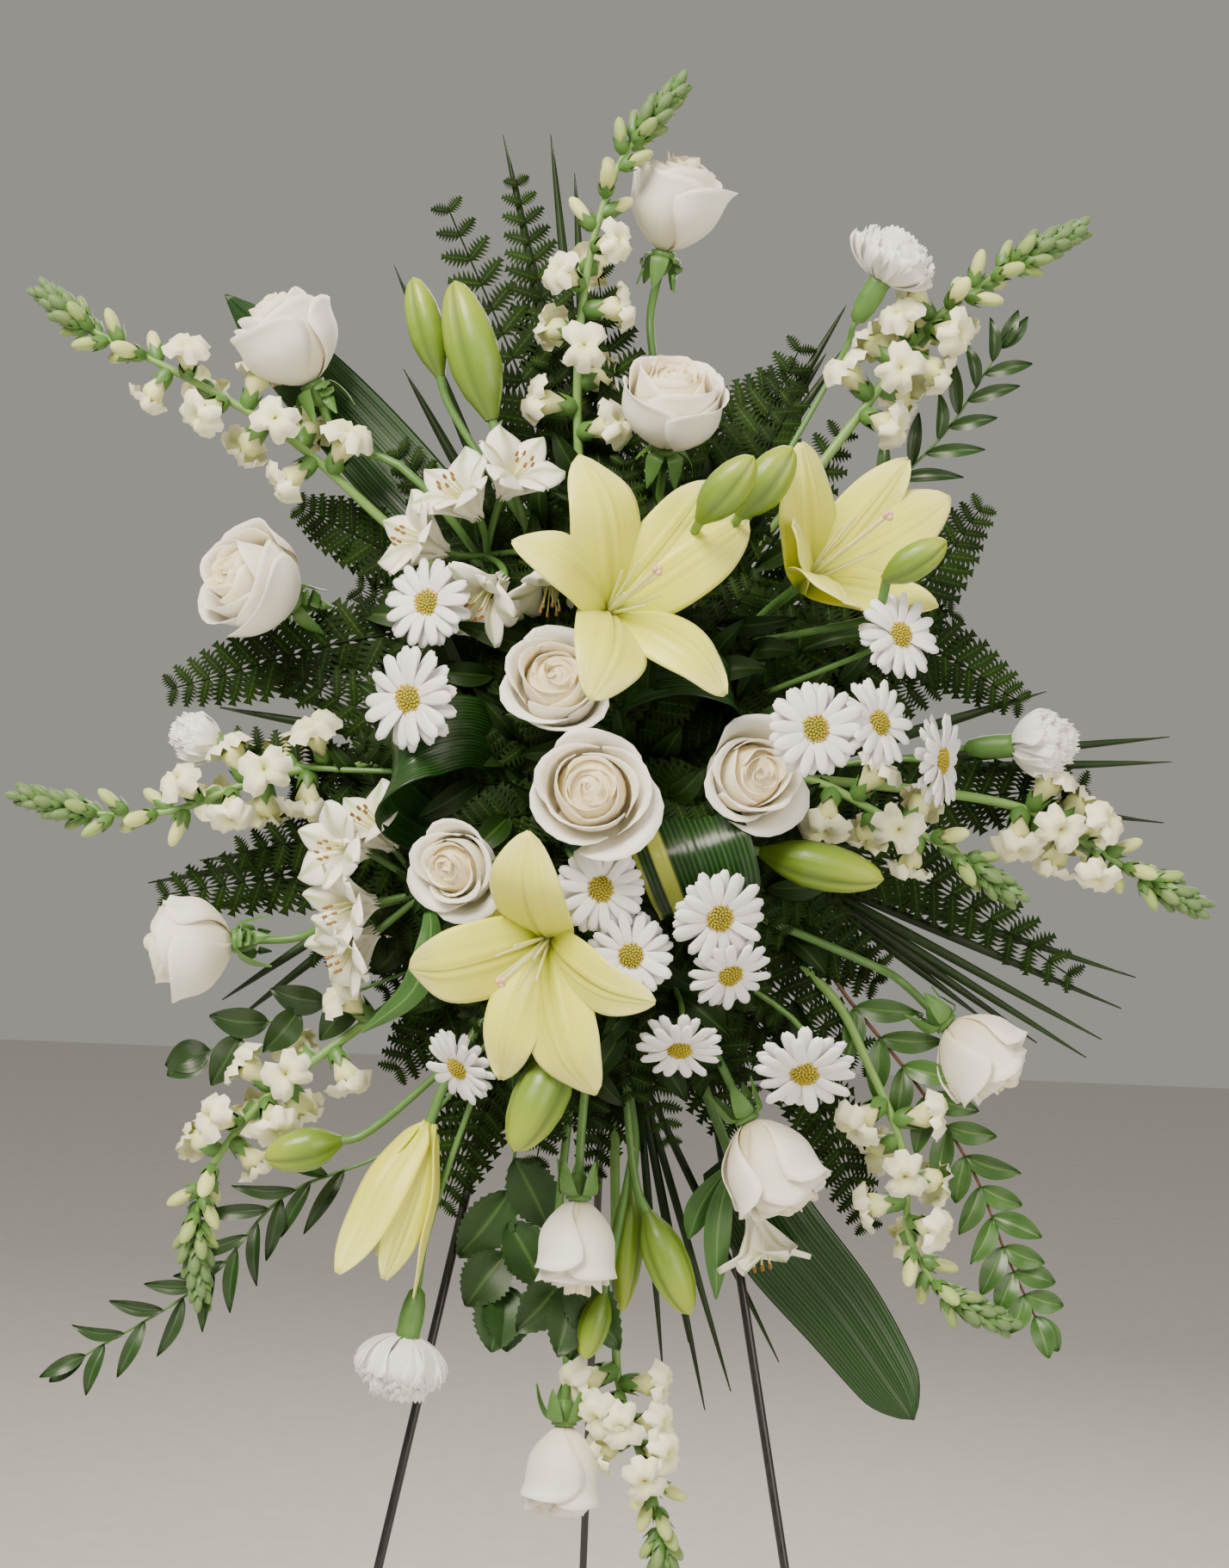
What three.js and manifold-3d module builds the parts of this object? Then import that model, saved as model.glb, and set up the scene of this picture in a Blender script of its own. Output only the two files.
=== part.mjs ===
// Standing funeral arrangement: a spray of white and lemon flowers in a tray of floral foam,
// hung on a folding wire easel. Millimetres, +Z up, the flowers face -Y.
// The origin is on the floor, at the middle of the whole arrangement's box.
import * as THREE from 'three';
import { mergeVertices } from 'three/addons/utils/BufferGeometryUtils.js';
import Module from 'manifold-3d';

const wasm = await Module();
wasm.setup();

const clearance = 0.35;

// Easel
const easelTop = 1366;
const hingeHeight = 1310;
const hangerBarHeight = 1270;
const lowerBarHeight = 1095;
const wireRadius = 3;
const footHalfSpread = 261;
const footReach = 192;
const legSplay = footHalfSpread / easelTop;
const legLean = footReach / easelTop;
const backFootReach = 330;
const barHalfLength = 62;
const hingeEyeOuter = 7;
const hingeEyeWidth = 8;

// Foam block in its tray
const foamWidth = 110;
const foamDepth = 80;
const foamHeight = 220;
const foamCentre = new THREE.Vector3(-8, -90, 1195);
const slitWidth = 5.6;
const slitMargin = 5;
const grooveMargin = 4.2;
const trayWall = 2.4;
const trayRim = 6;

// Viewpoint that the layout below is given from: [across, down, depth], where across and down
// are places in a picture 1428 wide and 1822 high, and depth is mm in front of the easel's top
const pictureCentre = [714, 911];
const pictureFocus = 2909;
const pictureRoll = THREE.MathUtils.degToRad(2.3);
const eyeDistance = 1730;
const eyeHeight = 1202;

// Flower and leaf sizes
const strapStalkRadius = 2.4;
const daisyRadius = 31;
const daisyPetals = 12;
const lilyTepalWidth = 40;
const lilyDepth = 18.1;
const hangingStalkStart = 0.8;
const straightStalk = 34;
const budStalkShare = 0.25;

const ivory = 0xf3efe4;
const white = 0xf7f7f4;
const lemon = 0xe9e3a2;
const stemGreen = 0x6d9447;
const darkGreen = 0x1f4a25;
const fernGreen = 0x2f5a30;
const leafGreen = 0x3c6b33;
const wireBlack = 0x151515;
const foamGreen = 0x3d6b45;

const upward = new THREE.Vector3(0, 0, 1);
const towardViewer = new THREE.Vector3(0, -1, 0);

function place([across, down, depth]) {
  const reach = (eyeDistance - depth) / pictureFocus;
  const u = across - pictureCentre[0];
  const v = pictureCentre[1] - down;
  const x = (u * Math.cos(pictureRoll) - v * Math.sin(pictureRoll)) * reach;
  const z = eyeHeight + (u * Math.sin(pictureRoll) + v * Math.cos(pictureRoll)) * reach;
  return new THREE.Vector3(x, -depth, z);
}

// Direction that a bloom faces: turn is anticlockwise from +X, tilt is away from the viewer
function facing(turn, tilt) {
  const a = THREE.MathUtils.degToRad(turn);
  const b = THREE.MathUtils.degToRad(tilt);
  return new THREE.Vector3(Math.sin(b) * Math.cos(a), -Math.cos(b), Math.sin(b) * Math.sin(a));
}

function mix(a, b, t) {
  return a + (b - a) * t;
}

// Closed triangle mesh to solid, with its faces turned outwards
function solidFrom(points, triangles) {
  let volume = 0;
  for (const [a, b, c] of triangles) {
    volume += points[a].dot(new THREE.Vector3().crossVectors(points[b], points[c]));
  }
  const geometry = new THREE.BufferGeometry().setFromPoints(points);
  const order = volume < 0 ? triangles.map(([a, b, c]) => [a, c, b]) : triangles;
  geometry.setIndex(order.flat());
  return solidOf(geometry);
}

function solidOf(geometry) {
  geometry.deleteAttribute('normal');
  geometry.deleteAttribute('uv');
  const merged = mergeVertices(geometry, 1e-4);
  return new wasm.Manifold(new wasm.Mesh({
    numProp: 3,
    vertProperties: new Float32Array(merged.attributes.position.array),
    triVerts: new Uint32Array(merged.index.array),
  }));
}

function joined(solids) {
  return wasm.Manifold.union(solids);
}

// Skin through a row of rings with equal counts; a ring of one point is a tip.
// The second half of each ring is split like the first, so both faces of a blade match.
function loft(rings) {
  const points = rings.flat();
  const starts = [];
  let next = 0;
  for (const ring of rings) {
    starts.push(next);
    next += ring.length;
  }
  const triangles = [];
  for (let k = 0; k + 1 < rings.length; k += 1) {
    const near = rings[k].length;
    const far = rings[k + 1].length;
    const count = Math.max(near, far);
    for (let i = 0; i < count; i += 1) {
      const j = (i + 1) % count;
      const a = starts[k] + (near === 1 ? 0 : i);
      const b = starts[k] + (near === 1 ? 0 : j);
      const c = starts[k + 1] + (far === 1 ? 0 : i);
      const d = starts[k + 1] + (far === 1 ? 0 : j);
      if (near === 1) triangles.push([a, d, c]);
      else if (far === 1) triangles.push([a, b, c]);
      else if (i < count / 2) triangles.push([a, b, d], [a, d, c]);
      else triangles.push([a, b, c], [b, d, c]);
    }
  }
  const last = rings.length - 1;
  for (let i = 1; i + 1 < rings[0].length; i += 1) triangles.push([0, i + 1, i]);
  for (let i = 1; i + 1 < rings[last].length; i += 1) {
    triangles.push([starts[last], starts[last] + i, starts[last] + i + 1]);
  }
  return solidFrom(points, triangles);
}

function curvePoints(points, steps) {
  return new THREE.CatmullRomCurve3(points, false, 'centripetal').getPoints(steps);
}

function tangentAt(points, k) {
  const before = points[Math.max(k - 1, 0)];
  const after = points[Math.min(k + 1, points.length - 1)];
  return new THREE.Vector3().subVectors(after, before).normalize();
}

// Rings of a round stem through the points, with a radius for each; twist turns each ring on
function stemRings(points, radii, sides, grow, twist = 0) {
  let across = new THREE.Vector3(0.31, 0.95, 0.05);
  const last = points.length - 1;
  return points.map((centre, k) => {
    const ahead = tangentAt(points, k);
    across = across.clone().addScaledVector(ahead, -across.dot(ahead)).normalize();
    const over = new THREE.Vector3().crossVectors(ahead, across);
    const middle = centre.clone();
    if (k === 0) middle.addScaledVector(ahead, -grow);
    if (k === last) middle.addScaledVector(ahead, grow);
    if (radii[k] === 0) return [middle];
    return Array.from({ length: sides }, (_, i) => {
      const angle = (2 * Math.PI * (i + 0.5)) / sides + k * twist;
      return middle.clone()
        .addScaledVector(across, (radii[k] + grow) * Math.cos(angle))
        .addScaledVector(over, (radii[k] + grow) * Math.sin(angle));
    });
  });
}

function stem(points, radii, sides, grow) {
  return loft(stemRings(points, radii, sides, grow));
}

// Stem of four-point rings with growths: each stands on one side of one band between two
// rings, and runs through its own four-point rings to a tip or a throat. The sides of a ridged
// one are split towards its ridge and its back, so that its two faces stay apart.
function buddedStem(rings, growths) {
  const points = rings.flat();
  const triangles = [];
  for (let k = 0; k + 1 < rings.length; k += 1) {
    for (let i = 0; i < 4; i += 1) {
      const j = (i + 1) % 4;
      const tip = rings[k + 1].length === 1;
      const next = 4 * (k + 1);
      let ring = tip ? [4 * k + i, 4 * k + j, next] : [4 * k + i, 4 * k + j, next + j, next + i];
      const growth = growths.find((item) => item.band === k && item.side === i);
      for (const section of growth?.sections ?? []) {
        const first = points.length;
        points.push(...section);
        const far = section.map((_, n) => first + n);
        for (let a = 0; a < 4; a += 1) {
          const b = (a + 1) % 4;
          if (far.length === 1) triangles.push([ring[a], ring[b], far[0]]);
          else if (growth.ridged && a % 2) {
            triangles.push([ring[a], ring[b], far[a]], [ring[b], far[b], far[a]]);
          } else triangles.push([ring[a], ring[b], far[b]], [ring[a], far[b], far[a]]);
        }
        ring = far;
      }
      if (ring.length === 3) triangles.push(ring);
      if (ring.length === 4) triangles.push([ring[0], ring[1], ring[2]], [ring[0], ring[2], ring[3]]);
    }
  }
  triangles.push([0, 2, 1], [0, 3, 2]);
  return solidFrom(points, triangles);
}

// Four-point rings of a thin leaf or petal: ribbed, with edges that droop from the rib.
// widthAt gives the half width along it, and front says which way its face looks.
function bladeRings({ points, widthAt, front, thick = 1.4, droop = 0.25, across = null }, grow) {
  const last = points.length - 1;
  return points.map((centre, k) => {
    const ahead = tangentAt(points, k);
    const side = across
      ? across.clone().addScaledVector(ahead, -across.dot(ahead)).normalize()
      : new THREE.Vector3().crossVectors(ahead, front).normalize();
    const over = new THREE.Vector3().crossVectors(side, ahead).normalize();
    const half = Math.max(widthAt(k / last), 0.01);
    if (k === last) return [centre.clone().addScaledVector(ahead, 2 * grow)];
    if (k === 0 && half < 0.5) return [centre.clone().addScaledVector(ahead, -grow)];
    const wide = half + grow * 1.5;
    const rise = Math.min(thick, half * 1.4) / 2 + grow;
    const at = (s, o) => centre.clone().addScaledVector(side, s).addScaledVector(over, o);
    return [at(-wide, -droop * wide), at(0, rise), at(wide, -droop * wide), at(0, -rise)];
  });
}

function blade(form, grow) {
  return loft(bladeRings(form, grow));
}

function leafWidth(half, peak = 0.45) {
  return (t) => half * Math.sin(Math.PI * Math.pow(t, Math.log(0.5) / Math.log(peak))) ** 0.8;
}

// Axes of a bloom that faces along a direction
function bloomAxes(face) {
  const right = new THREE.Vector3().crossVectors(face, upward);
  if (right.length() < 0.1) right.set(1, 0, 0);
  right.normalize();
  const up = new THREE.Vector3().crossVectors(right, face).normalize();
  return { right, up, face };
}

// Point of a bloom in its own round frame: angle about its axis, radius from it, height along it
function roundPoint(base, axes, angle, radius, height) {
  return base.clone()
    .addScaledVector(axes.right, radius * Math.cos(angle))
    .addScaledVector(axes.up, radius * Math.sin(angle))
    .addScaledVector(axes.face, height);
}

// Head of petals wound in one spiral from the tight centre to the open outer row,
// with a lobed rim: roses have few broad lobes, carnations many fringed ones
function spiralHead(head, grow) {
  const { base, face, width, height, turns, steps, lobes, dip, flare, coreWidth, footWidth } = head;
  const axes = bloomAxes(face);
  const count = Math.round(turns * steps);
  const half = 0.7 + grow;
  const rings = [];
  for (let k = 0; k <= count; k += 1) {
    const open = k / count;
    const angle = (2 * Math.PI * k) / steps;
    const lobe = Math.abs(Math.cos(lobes * angle * 0.5));
    const rim = mix(coreWidth, width, open ** 0.85) / 2 + flare * open * lobe;
    const top = height * mix(1, head.outerRim, open ** 1.6) - dip * (1 - lobe);
    const foot = mix(1.2, footWidth / 2, open);
    const belly = mix(rim * 0.9, rim * head.belly, open);
    rings.push([
      roundPoint(base, axes, angle, foot, -grow),
      roundPoint(base, axes, angle, belly - half, height * 0.45),
      roundPoint(base, axes, angle, rim, top + grow),
      roundPoint(base, axes, angle, belly + half, height * 0.42),
    ]);
  }
  return loft(rings);
}

const roseForm = {
  turns: 2.5, steps: 8, lobes: 2.6, dip: 4, flare: 4, coreWidth: 12, footWidth: 20, outerRim: 0.8,
  belly: 0.94, rise: 0,
};
const carnationForm = {
  turns: 2, steps: 10, lobes: 5, dip: 5, flare: 3, coreWidth: 10, footWidth: 12, outerRim: 0.45,
  belly: 0.66, rise: 0.5,
};

function headBase(bloom) {
  const face = facing(bloom.turn, bloom.tilt);
  return place(bloom.at).addScaledVector(face, -bloom.height / 2);
}

function spiralBloom(bloom, form, grow) {
  const face = facing(bloom.turn, bloom.tilt);
  const base = headBase(bloom).addScaledVector(face, form.rise);
  return spiralHead({ ...form, ...bloom, base, face }, grow);
}

// Petals or blades that share one centre. Each is a row of four-point rings, left, top, right
// and under, and ends in one point or a flat end. valleys are the points between neighbours.
function star({ top, under, petals, valleys = null, valley = 0.5 }) {
  const count = petals.length;
  const middle = top.clone().lerp(under, 0.5);
  const between = valleys ?? petals.map((petal, i) => {
    const before = petals[(i + count - 1) % count];
    return middle.clone().lerp(petal[0][0].clone().lerp(before[0][2], 0.5), valley);
  });
  const points = [top, under, ...between];
  const triangles = [];
  for (const [i, petal] of petals.entries()) {
    let ring = [2 + i, 0, 2 + ((i + 1) % count), 1];
    for (const section of petal) {
      const first = points.length;
      points.push(...section);
      const next = section.map((_, n) => first + n);
      for (let a = 0; a < 4; a += 1) {
        const b = (a + 1) % 4;
        if (next.length === 1) triangles.push([ring[a], ring[b], next[0]]);
        else if (a < 2) triangles.push([ring[a], ring[b], next[b]], [ring[a], next[b], next[a]]);
        else triangles.push([ring[a], ring[b], next[a]], [ring[b], next[b], next[a]]);
      }
      ring = next;
    }
    if (ring.length === 4) triangles.push([ring[0], ring[1], ring[2]], [ring[0], ring[2], ring[3]]);
  }
  return solidFrom(points, triangles);
}

// Daisy: petals round a raised disc, alternate petals a little lower, as two rows
function daisy(bloom, grow) {
  const axes = bloomAxes(facing(bloom.turn, bloom.tilt));
  const centre = place(bloom.at);
  const radius = bloom.radius ?? daisyRadius;
  const step = (2 * Math.PI) / daisyPetals;
  const at = (angle, out, rise) => roundPoint(centre, axes, angle, out, rise);
  const petals = Array.from({ length: daisyPetals }, (_, i) => {
    const angle = i * step;
    const lift = i % 2 ? -2.5 : 1.5;
    return [[
      at(angle - step * 0.36, radius + grow, lift - 1),
      at(angle, radius * 0.62, lift * 0.4 + 1 + grow),
      at(angle + step * 0.36, radius + grow, lift - 1),
      at(angle, radius * 0.62, lift * 0.4 - 1 - grow),
    ]];
  });
  return star({ top: at(0, 0, 5 + grow), under: at(0, 0, -3 - grow), petals, valley: 0.32 });
}

// Point where the line of sight to a place meets the plane of a lily's tips
function sightedOn(across, down, origin, face, height) {
  const eye = new THREE.Vector3(0, -eyeDistance, eyeHeight);
  const sight = place([across, down, 100]).sub(eye).normalize();
  const reach = (origin.clone().sub(eye).dot(face) + height) / sight.dot(face);
  return eye.addScaledVector(sight, reach);
}

// Open lily: six tepals from the throat through a bulge to their tips, filaments and a pistil
function lily(bloom, grow) {
  const face = facing(bloom.turn, bloom.tilt);
  const throat = place(bloom.at);
  const base = throat.clone().addScaledVector(face, 0.1 - lilyDepth);
  const axes = bloomAxes(face);
  const petals = bloom.tips.map(([across, down, depth], i) => {
    const tip = depth
      ? place([across, down, depth])
      : sightedOn(across, down, throat, face, bloom.cup);
    const span = tip.clone().sub(throat);
    const out = span.clone().addScaledVector(face, -span.dot(face)).normalize();
    const points = curvePoints([
      throat.clone().addScaledVector(out, 4).addScaledVector(face, -4),
      throat.clone().lerp(tip, 0.3).addScaledVector(face, bloom.bulge * 0.9),
      throat.clone().lerp(tip, 0.68).addScaledVector(face, bloom.bulge),
      tip,
    ], 4);
    const half = (lilyTepalWidth / 2) * (i % 2 ? 0.72 : 1) * (bloom.scale ?? 1);
    const form = { points, widthAt: leafWidth(half, 0.56), front: face, droop: -0.18 };
    return bladeRings(form, grow).slice(1);
  });
  const top = throat.clone().addScaledVector(face, grow);
  const perianth = star({ top, under: base.clone().addScaledVector(face, -grow), petals, valley: 0.3 });
  const parts = [perianth];
  for (let i = 0; i < 6; i += 1) {
    const angle = ((i + 0.5) * Math.PI) / 3;
    const top = roundPoint(throat, axes, angle, 14, bloom.cup * 0.6 + 22);
    parts.push(podBud(roundPoint(throat, axes, angle, 0.6, -5), top, 1.2, grow));
  }
  parts.push(podBud(roundPoint(throat, axes, 0, 0, -8), roundPoint(throat, axes, 0, 0, bloom.cup + 34),
    2, grow));
  return joined(parts);
}

// Half-open lily that hangs: a closed bell of tepals whose tips part
function hangingLily(bloom, grow) {
  const base = place(bloom.base);
  const tip = place(bloom.tip);
  const face = tip.clone().sub(base).normalize();
  const length = tip.distanceTo(base);
  const axes = bloomAxes(face);
  const petals = Array.from({ length: 6 }, (_, i) => {
    const angle = (i * Math.PI) / 3 + 0.3;
    const inner = i % 2 ? 0.82 : 1;
    const profile = [[6, 0.08], [24, 0.36], [30, 0.7], [33 * inner, mix(1, 0.92, i % 2)]];
    const points = profile.map(([r, t]) => roundPoint(base, axes, angle, r * inner, t * length));
    const front = roundPoint(new THREE.Vector3(), axes, angle, -1, 0);
    return bladeRings({ points, widthAt: leafWidth(12, 0.5), front }, grow).slice(1);
  });
  const at = (radius, rise) => roundPoint(base, axes, 0, radius, rise);
  const bell = star({ top: at(0, 10), under: at(0, -grow), petals, valley: 0.4 });
  const pistil = podBud(at(0, 5), at(0, length * 0.85), 2, grow);
  return joined([bell, pistil]);
}

// Closed lily bud and its stalk in one, from the tip down
function budStem(record, root, grow) {
  const base = place(record.base);
  const tip = place(record.tip);
  const width = record.width;
  const at = (t) => base.clone().lerp(tip, t);
  const via = (record.via ?? []).map(place);
  const route = [at(1), at(0.76), at(0.36), at(0), at(-budStalkShare), ...via, root];
  const radii = [0, width * 0.4, width * 0.5, 3.2, ...route.slice(4).map(() => 2.3)];
  return stem(route, radii, 4, grow);
}

// Cup under a rose, whose sepals bend back
function roseCalyx(bloom, grow) {
  const face = facing(bloom.turn, bloom.tilt);
  const top = headBase(bloom);
  const axes = bloomAxes(face);
  const long = bloom.tilt > 45 ? 1 : 0.6;
  const angles = [0, 1, 2, 3, 4].map((i) => (i * 2 * Math.PI) / 5 + 0.4);
  return star({
    top: roundPoint(top, axes, 0, 0, grow),
    under: roundPoint(top, axes, 0, 0, -16 - grow),
    petals: angles.map((angle) => [[roundPoint(top, axes, angle, 26 * long + grow, -15 * long)]]),
    valleys: angles.map((angle) => roundPoint(top, axes, angle - 0.63, 8.5 + grow, -4)),
  });
}

// Stem from a bloom along its route to its root in the foam
function stemTo(bloom, top, radii, root, sides, grow) {
  const face = facing(bloom.turn, bloom.tilt);
  const drops = [0, ...(bloom.drops ?? []), straightStalk];
  const route = [...drops.slice(0, radii.length).map((d) => top.clone().addScaledVector(face, -d)),
    ...(bloom.via ?? []).map(place), root];
  const last = radii[radii.length - 1];
  return stem(route, route.map((_, k) => radii[k] ?? last), sides, grow);
}

function roseStem(bloom, root, grow) {
  const top = headBase(bloom).addScaledVector(facing(bloom.turn, bloom.tilt), -9);
  return joined([roseCalyx(bloom, grow), stemTo(bloom, top, [2.6, 2.6], root, 3, grow)]);
}

function carnationStem(bloom, root, grow) {
  return stemTo({ ...bloom, drops: [24, 30] }, headBase(bloom), [6.4, 4.6, 1.9], root, 4, grow);
}

function daisyStem(bloom, root, grow) {
  const face = facing(bloom.turn, bloom.tilt);
  const top = place(bloom.at).addScaledVector(face, -3.1 - 2 * clearance);
  return stemTo({ ...bloom, drops: [7] }, top, [5.5, 1.8], root, 3, grow);
}

function lilyStem(bloom, root, grow) {
  const face = facing(bloom.turn, bloom.tilt);
  const top = place(bloom.at).addScaledVector(face, -lilyDepth - 2 * clearance);
  return stemTo(bloom, top, [3.6, 3], root, 3, grow);
}

function hangingStem(bloom, root, grow) {
  const face = facing(bloom.turn, bloom.tilt);
  const top = place(bloom.base).addScaledVector(face, -hangingStalkStart);
  return stemTo(bloom, top, [3.6, 3], root, 3, grow);
}

// Snapdragon spike: bent stem, two-lipped florets lower down, then buds that shrink to the tip
function snapdragon(spike, grow) {
  const path = new THREE.CatmullRomCurve3(spike.route.map(place), false, 'centripetal');
  const bands = spike.bands ?? 11;
  const openBands = spike.openBands ?? 6;
  const bare = [0, 0.34, 0.68].map((t) => t * spike.from);
  const grown = Array.from({ length: bands + 1 }, (_, k) => mix(spike.from, 0.985, (k / bands) ** 0.9));
  const places = [...bare, ...grown];
  const centres = [...places.map((t) => path.getPoint(t)), path.getPoint(1)];
  const radii = [...places.map((t) => mix(3.2, 2.2, t)), 0];
  const rings = stemRings(centres, radii, 4, grow, 0.5);
  const growths = [];
  for (let n = 0; n < bands; n += 1) {
    const band = bare.length + n;
    const size = mix(1.1, 0.45, n / bands);
    for (const side of [n % 2, (n % 2) + 2]) {
      const corners = [rings[band][side], rings[band][(side + 1) % 4],
        rings[band + 1][(side + 1) % 4], rings[band + 1][side]];
      growths.push({ band, side, sections: floretSections(corners, size, n < openBands, grow) });
    }
  }
  return buddedStem(rings, growths);
}

// Rings of one floret or bud that stands on four corners of a stem
function floretSections(corners, size, open, grow) {
  const centre = corners.reduce((sum, c) => sum.add(c), new THREE.Vector3()).multiplyScalar(0.25);
  const along = corners[3].clone().sub(corners[0]).normalize();
  const side = corners[1].clone().sub(corners[0]).normalize();
  const out = new THREE.Vector3().crossVectors(side, along).normalize();
  const face = out.clone().addScaledVector(along, open ? 0.3 : 1.5).normalize();
  const rise = new THREE.Vector3().crossVectors(face, side).normalize();
  if (!open) return [[centre.clone().addScaledVector(face, 24 * size + grow)]];
  const at = (r, s, f) => centre.clone()
    .addScaledVector(rise, r * size).addScaledVector(side, s * size).addScaledVector(face, f * size);
  const g = grow;
  const mouth = [at(-13 - g, -15 - g, 25 + g), at(-13 - g, 15 + g, 25 + g), at(15 + g, 12 + g, 29 + g),
    at(15 + g, -12 - g, 29 + g)];
  const turned = rise.dot(along) < 0 ? [mouth[3], mouth[2], mouth[1], mouth[0]] : mouth;
  return [turned, [at(0, 0, 13 + grow)]];
}

// Slim pod, pointed at both ends
function podBud(base, end, radius, grow) {
  const axes = bloomAxes(end.clone().sub(base).normalize());
  const length = end.distanceTo(base);
  const middle = [0, 1, 2].map((i) => (
    roundPoint(base, axes, (i * 2 * Math.PI) / 3, radius + grow, length * 0.7)));
  return loft([[base], middle, [roundPoint(base, axes, 0, 0, length + grow)]]);
}

// Alstroemeria spray: one stem, and trumpets of six pointed tepals that taper to it
function alstroemeria(spray, grow) {
  const fork = place(spray.fork);
  const root = new THREE.Vector3(...spray.root);
  const parts = [stem([fork, root], [2, 2.4], 4, grow)];
  const angles = [0, 1, 2, 3, 4, 5].map((i) => (i * Math.PI) / 3);
  for (const [i, [across, down, depth, turn, tilt]] of spray.florets.entries()) {
    const centre = place([across, down, depth]);
    const axes = bloomAxes(facing(turn, tilt));
    const at = (angle, out, rise) => roundPoint(centre, axes, angle + turn, out + grow, rise);
    parts.push(star({
      top: roundPoint(centre, axes, 0, 0, -4 + grow),
      under: fork.clone().lerp(root, 0.03 + i * 0.05),
      petals: angles.map((angle) => [[at(angle, 27, 12)]]),
      valleys: angles.map((angle) => at(angle - Math.PI / 6, 9, 0)),
    }));
  }
  for (const points of spray.leaves ?? []) {
    const joint = fork.clone().lerp(root, 0.3);
    const route = curvePoints([joint, ...points.map(place)], 3);
    parts.push(blade({ points: route, widthAt: leafWidth(9), front: towardViewer }, grow));
  }
  return joined(parts);
}

// Fern frond: one arched blade, cut nearly to its rib into pointed leaflets
function frond({ route, half, leaflets }, root, grow) {
  const points = curvePoints(route.map(place), leaflets);
  const left = [];
  const right = [];
  const centre = points.map((point, k) => {
    const ahead = tangentAt(points, k);
    const side = new THREE.Vector3().crossVectors(ahead, towardViewer).normalize();
    const shape = Math.sin(Math.PI * (0.14 + 0.8 * (k / leaflets)) ** 0.75) ** 0.7;
    const reach = half * shape + grow;
    const tooth = (sign) => point.clone().lerp(points[k + 1], 0.75)
      .addScaledVector(side, sign * reach).addScaledVector(towardViewer, -0.16 * reach);
    const notch = (sign) => point.clone().addScaledVector(side, sign * (1.5 + grow));
    left.push(notch(-1));
    right.push(notch(1));
    if (k < leaflets) {
      left.push(tooth(-1));
      right.push(tooth(1));
    }
    return point;
  });
  const rise = towardViewer.clone().multiplyScalar(0.8 + grow);
  const upper = centre.map((point) => point.clone().add(rise));
  const lower = centre.map((point) => point.clone().sub(rise));
  const shell = [...upper, ...lower, ...left, ...right];
  const triangles = [];
  const count = centre.length;
  const facet = (a, b, c, sign) => triangles.push(sign > 0 ? [a, b, c] : [a, c, b]);
  for (const [edgeStart, edgeSign] of [[2 * count, 1], [2 * count + left.length, -1]]) {
    for (const [faceStart, faceSign] of [[0, 1], [count, -1]]) {
      const sign = edgeSign * faceSign;
      for (let k = 0; k < leaflets; k += 1) {
        const rib = faceStart + k;
        const edge = edgeStart + 2 * k;
        facet(rib, edge, edge + 1, sign);
        facet(rib, edge + 1, rib + 1, sign);
        facet(rib + 1, edge + 1, edge + 2, sign);
      }
    }
    const end = edgeStart + 2 * leaflets;
    facet(leaflets, end, count + leaflets, edgeSign);
  }
  const base = shell.length;
  const away = points[0].clone().sub(root).normalize();
  const across = new THREE.Vector3().crossVectors(away, towardViewer).normalize();
  shell.push(root.clone().add(rise), root.clone().sub(rise),
    root.clone().addScaledVector(across, -1.4 - grow), root.clone().addScaledVector(across, 1.4 + grow));
  const mouth = [0, 2 * count, count, 2 * count + left.length];
  const foot = [base, base + 2, base + 1, base + 3];
  for (let a = 0; a < 4; a += 1) {
    const b = (a + 1) % 4;
    triangles.push([foot[a], mouth[b], mouth[a]], [foot[a], foot[b], mouth[b]]);
  }
  triangles.push([foot[0], foot[3], foot[2]], [foot[0], foot[2], foot[1]]);
  return solidFrom(shell, triangles);
}

// Fan of narrow blades that part close to its foot, with its stalk as one more finger
function palmFan({ foot, tips, half = 4 }, root, grow) {
  const base = place(foot);
  const finger = (end, wide, middleAt) => {
    const ahead = end.clone().sub(base).normalize();
    const side = new THREE.Vector3().crossVectors(ahead, towardViewer).normalize();
    const middle = base.clone().lerp(end, middleAt);
    const at = (s, o) => middle.clone().addScaledVector(side, s).addScaledVector(towardViewer, o);
    return [[at(-wide - grow, 0), at(0, 0.9 + grow), at(wide + grow, 0), at(0, -0.9 - grow)],
      [end.clone().addScaledVector(ahead, grow)]];
  };
  const blades = tips.map((tip) => {
    const end = place([...tip, foot[2] - 0.6]);
    const angle = Math.atan2(end.z - base.z, end.x - base.x);
    return { angle, petal: finger(end, half, 0.4) };
  });
  const stalkAngle = Math.atan2(root.z - base.z, root.x - base.x);
  const turnFrom = (angle) => (stalkAngle - angle + 4 * Math.PI) % (2 * Math.PI);
  blades.sort((a, b) => turnFrom(a.angle) - turnFrom(b.angle));
  const petals = [finger(root, 1.4, 0.9), ...blades.map((entry) => entry.petal)];
  const rise = towardViewer.clone().multiplyScalar(1.2 + grow);
  return star({ top: base.clone().add(rise), under: base.clone().sub(rise), petals, valley: 0.1 });
}

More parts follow.
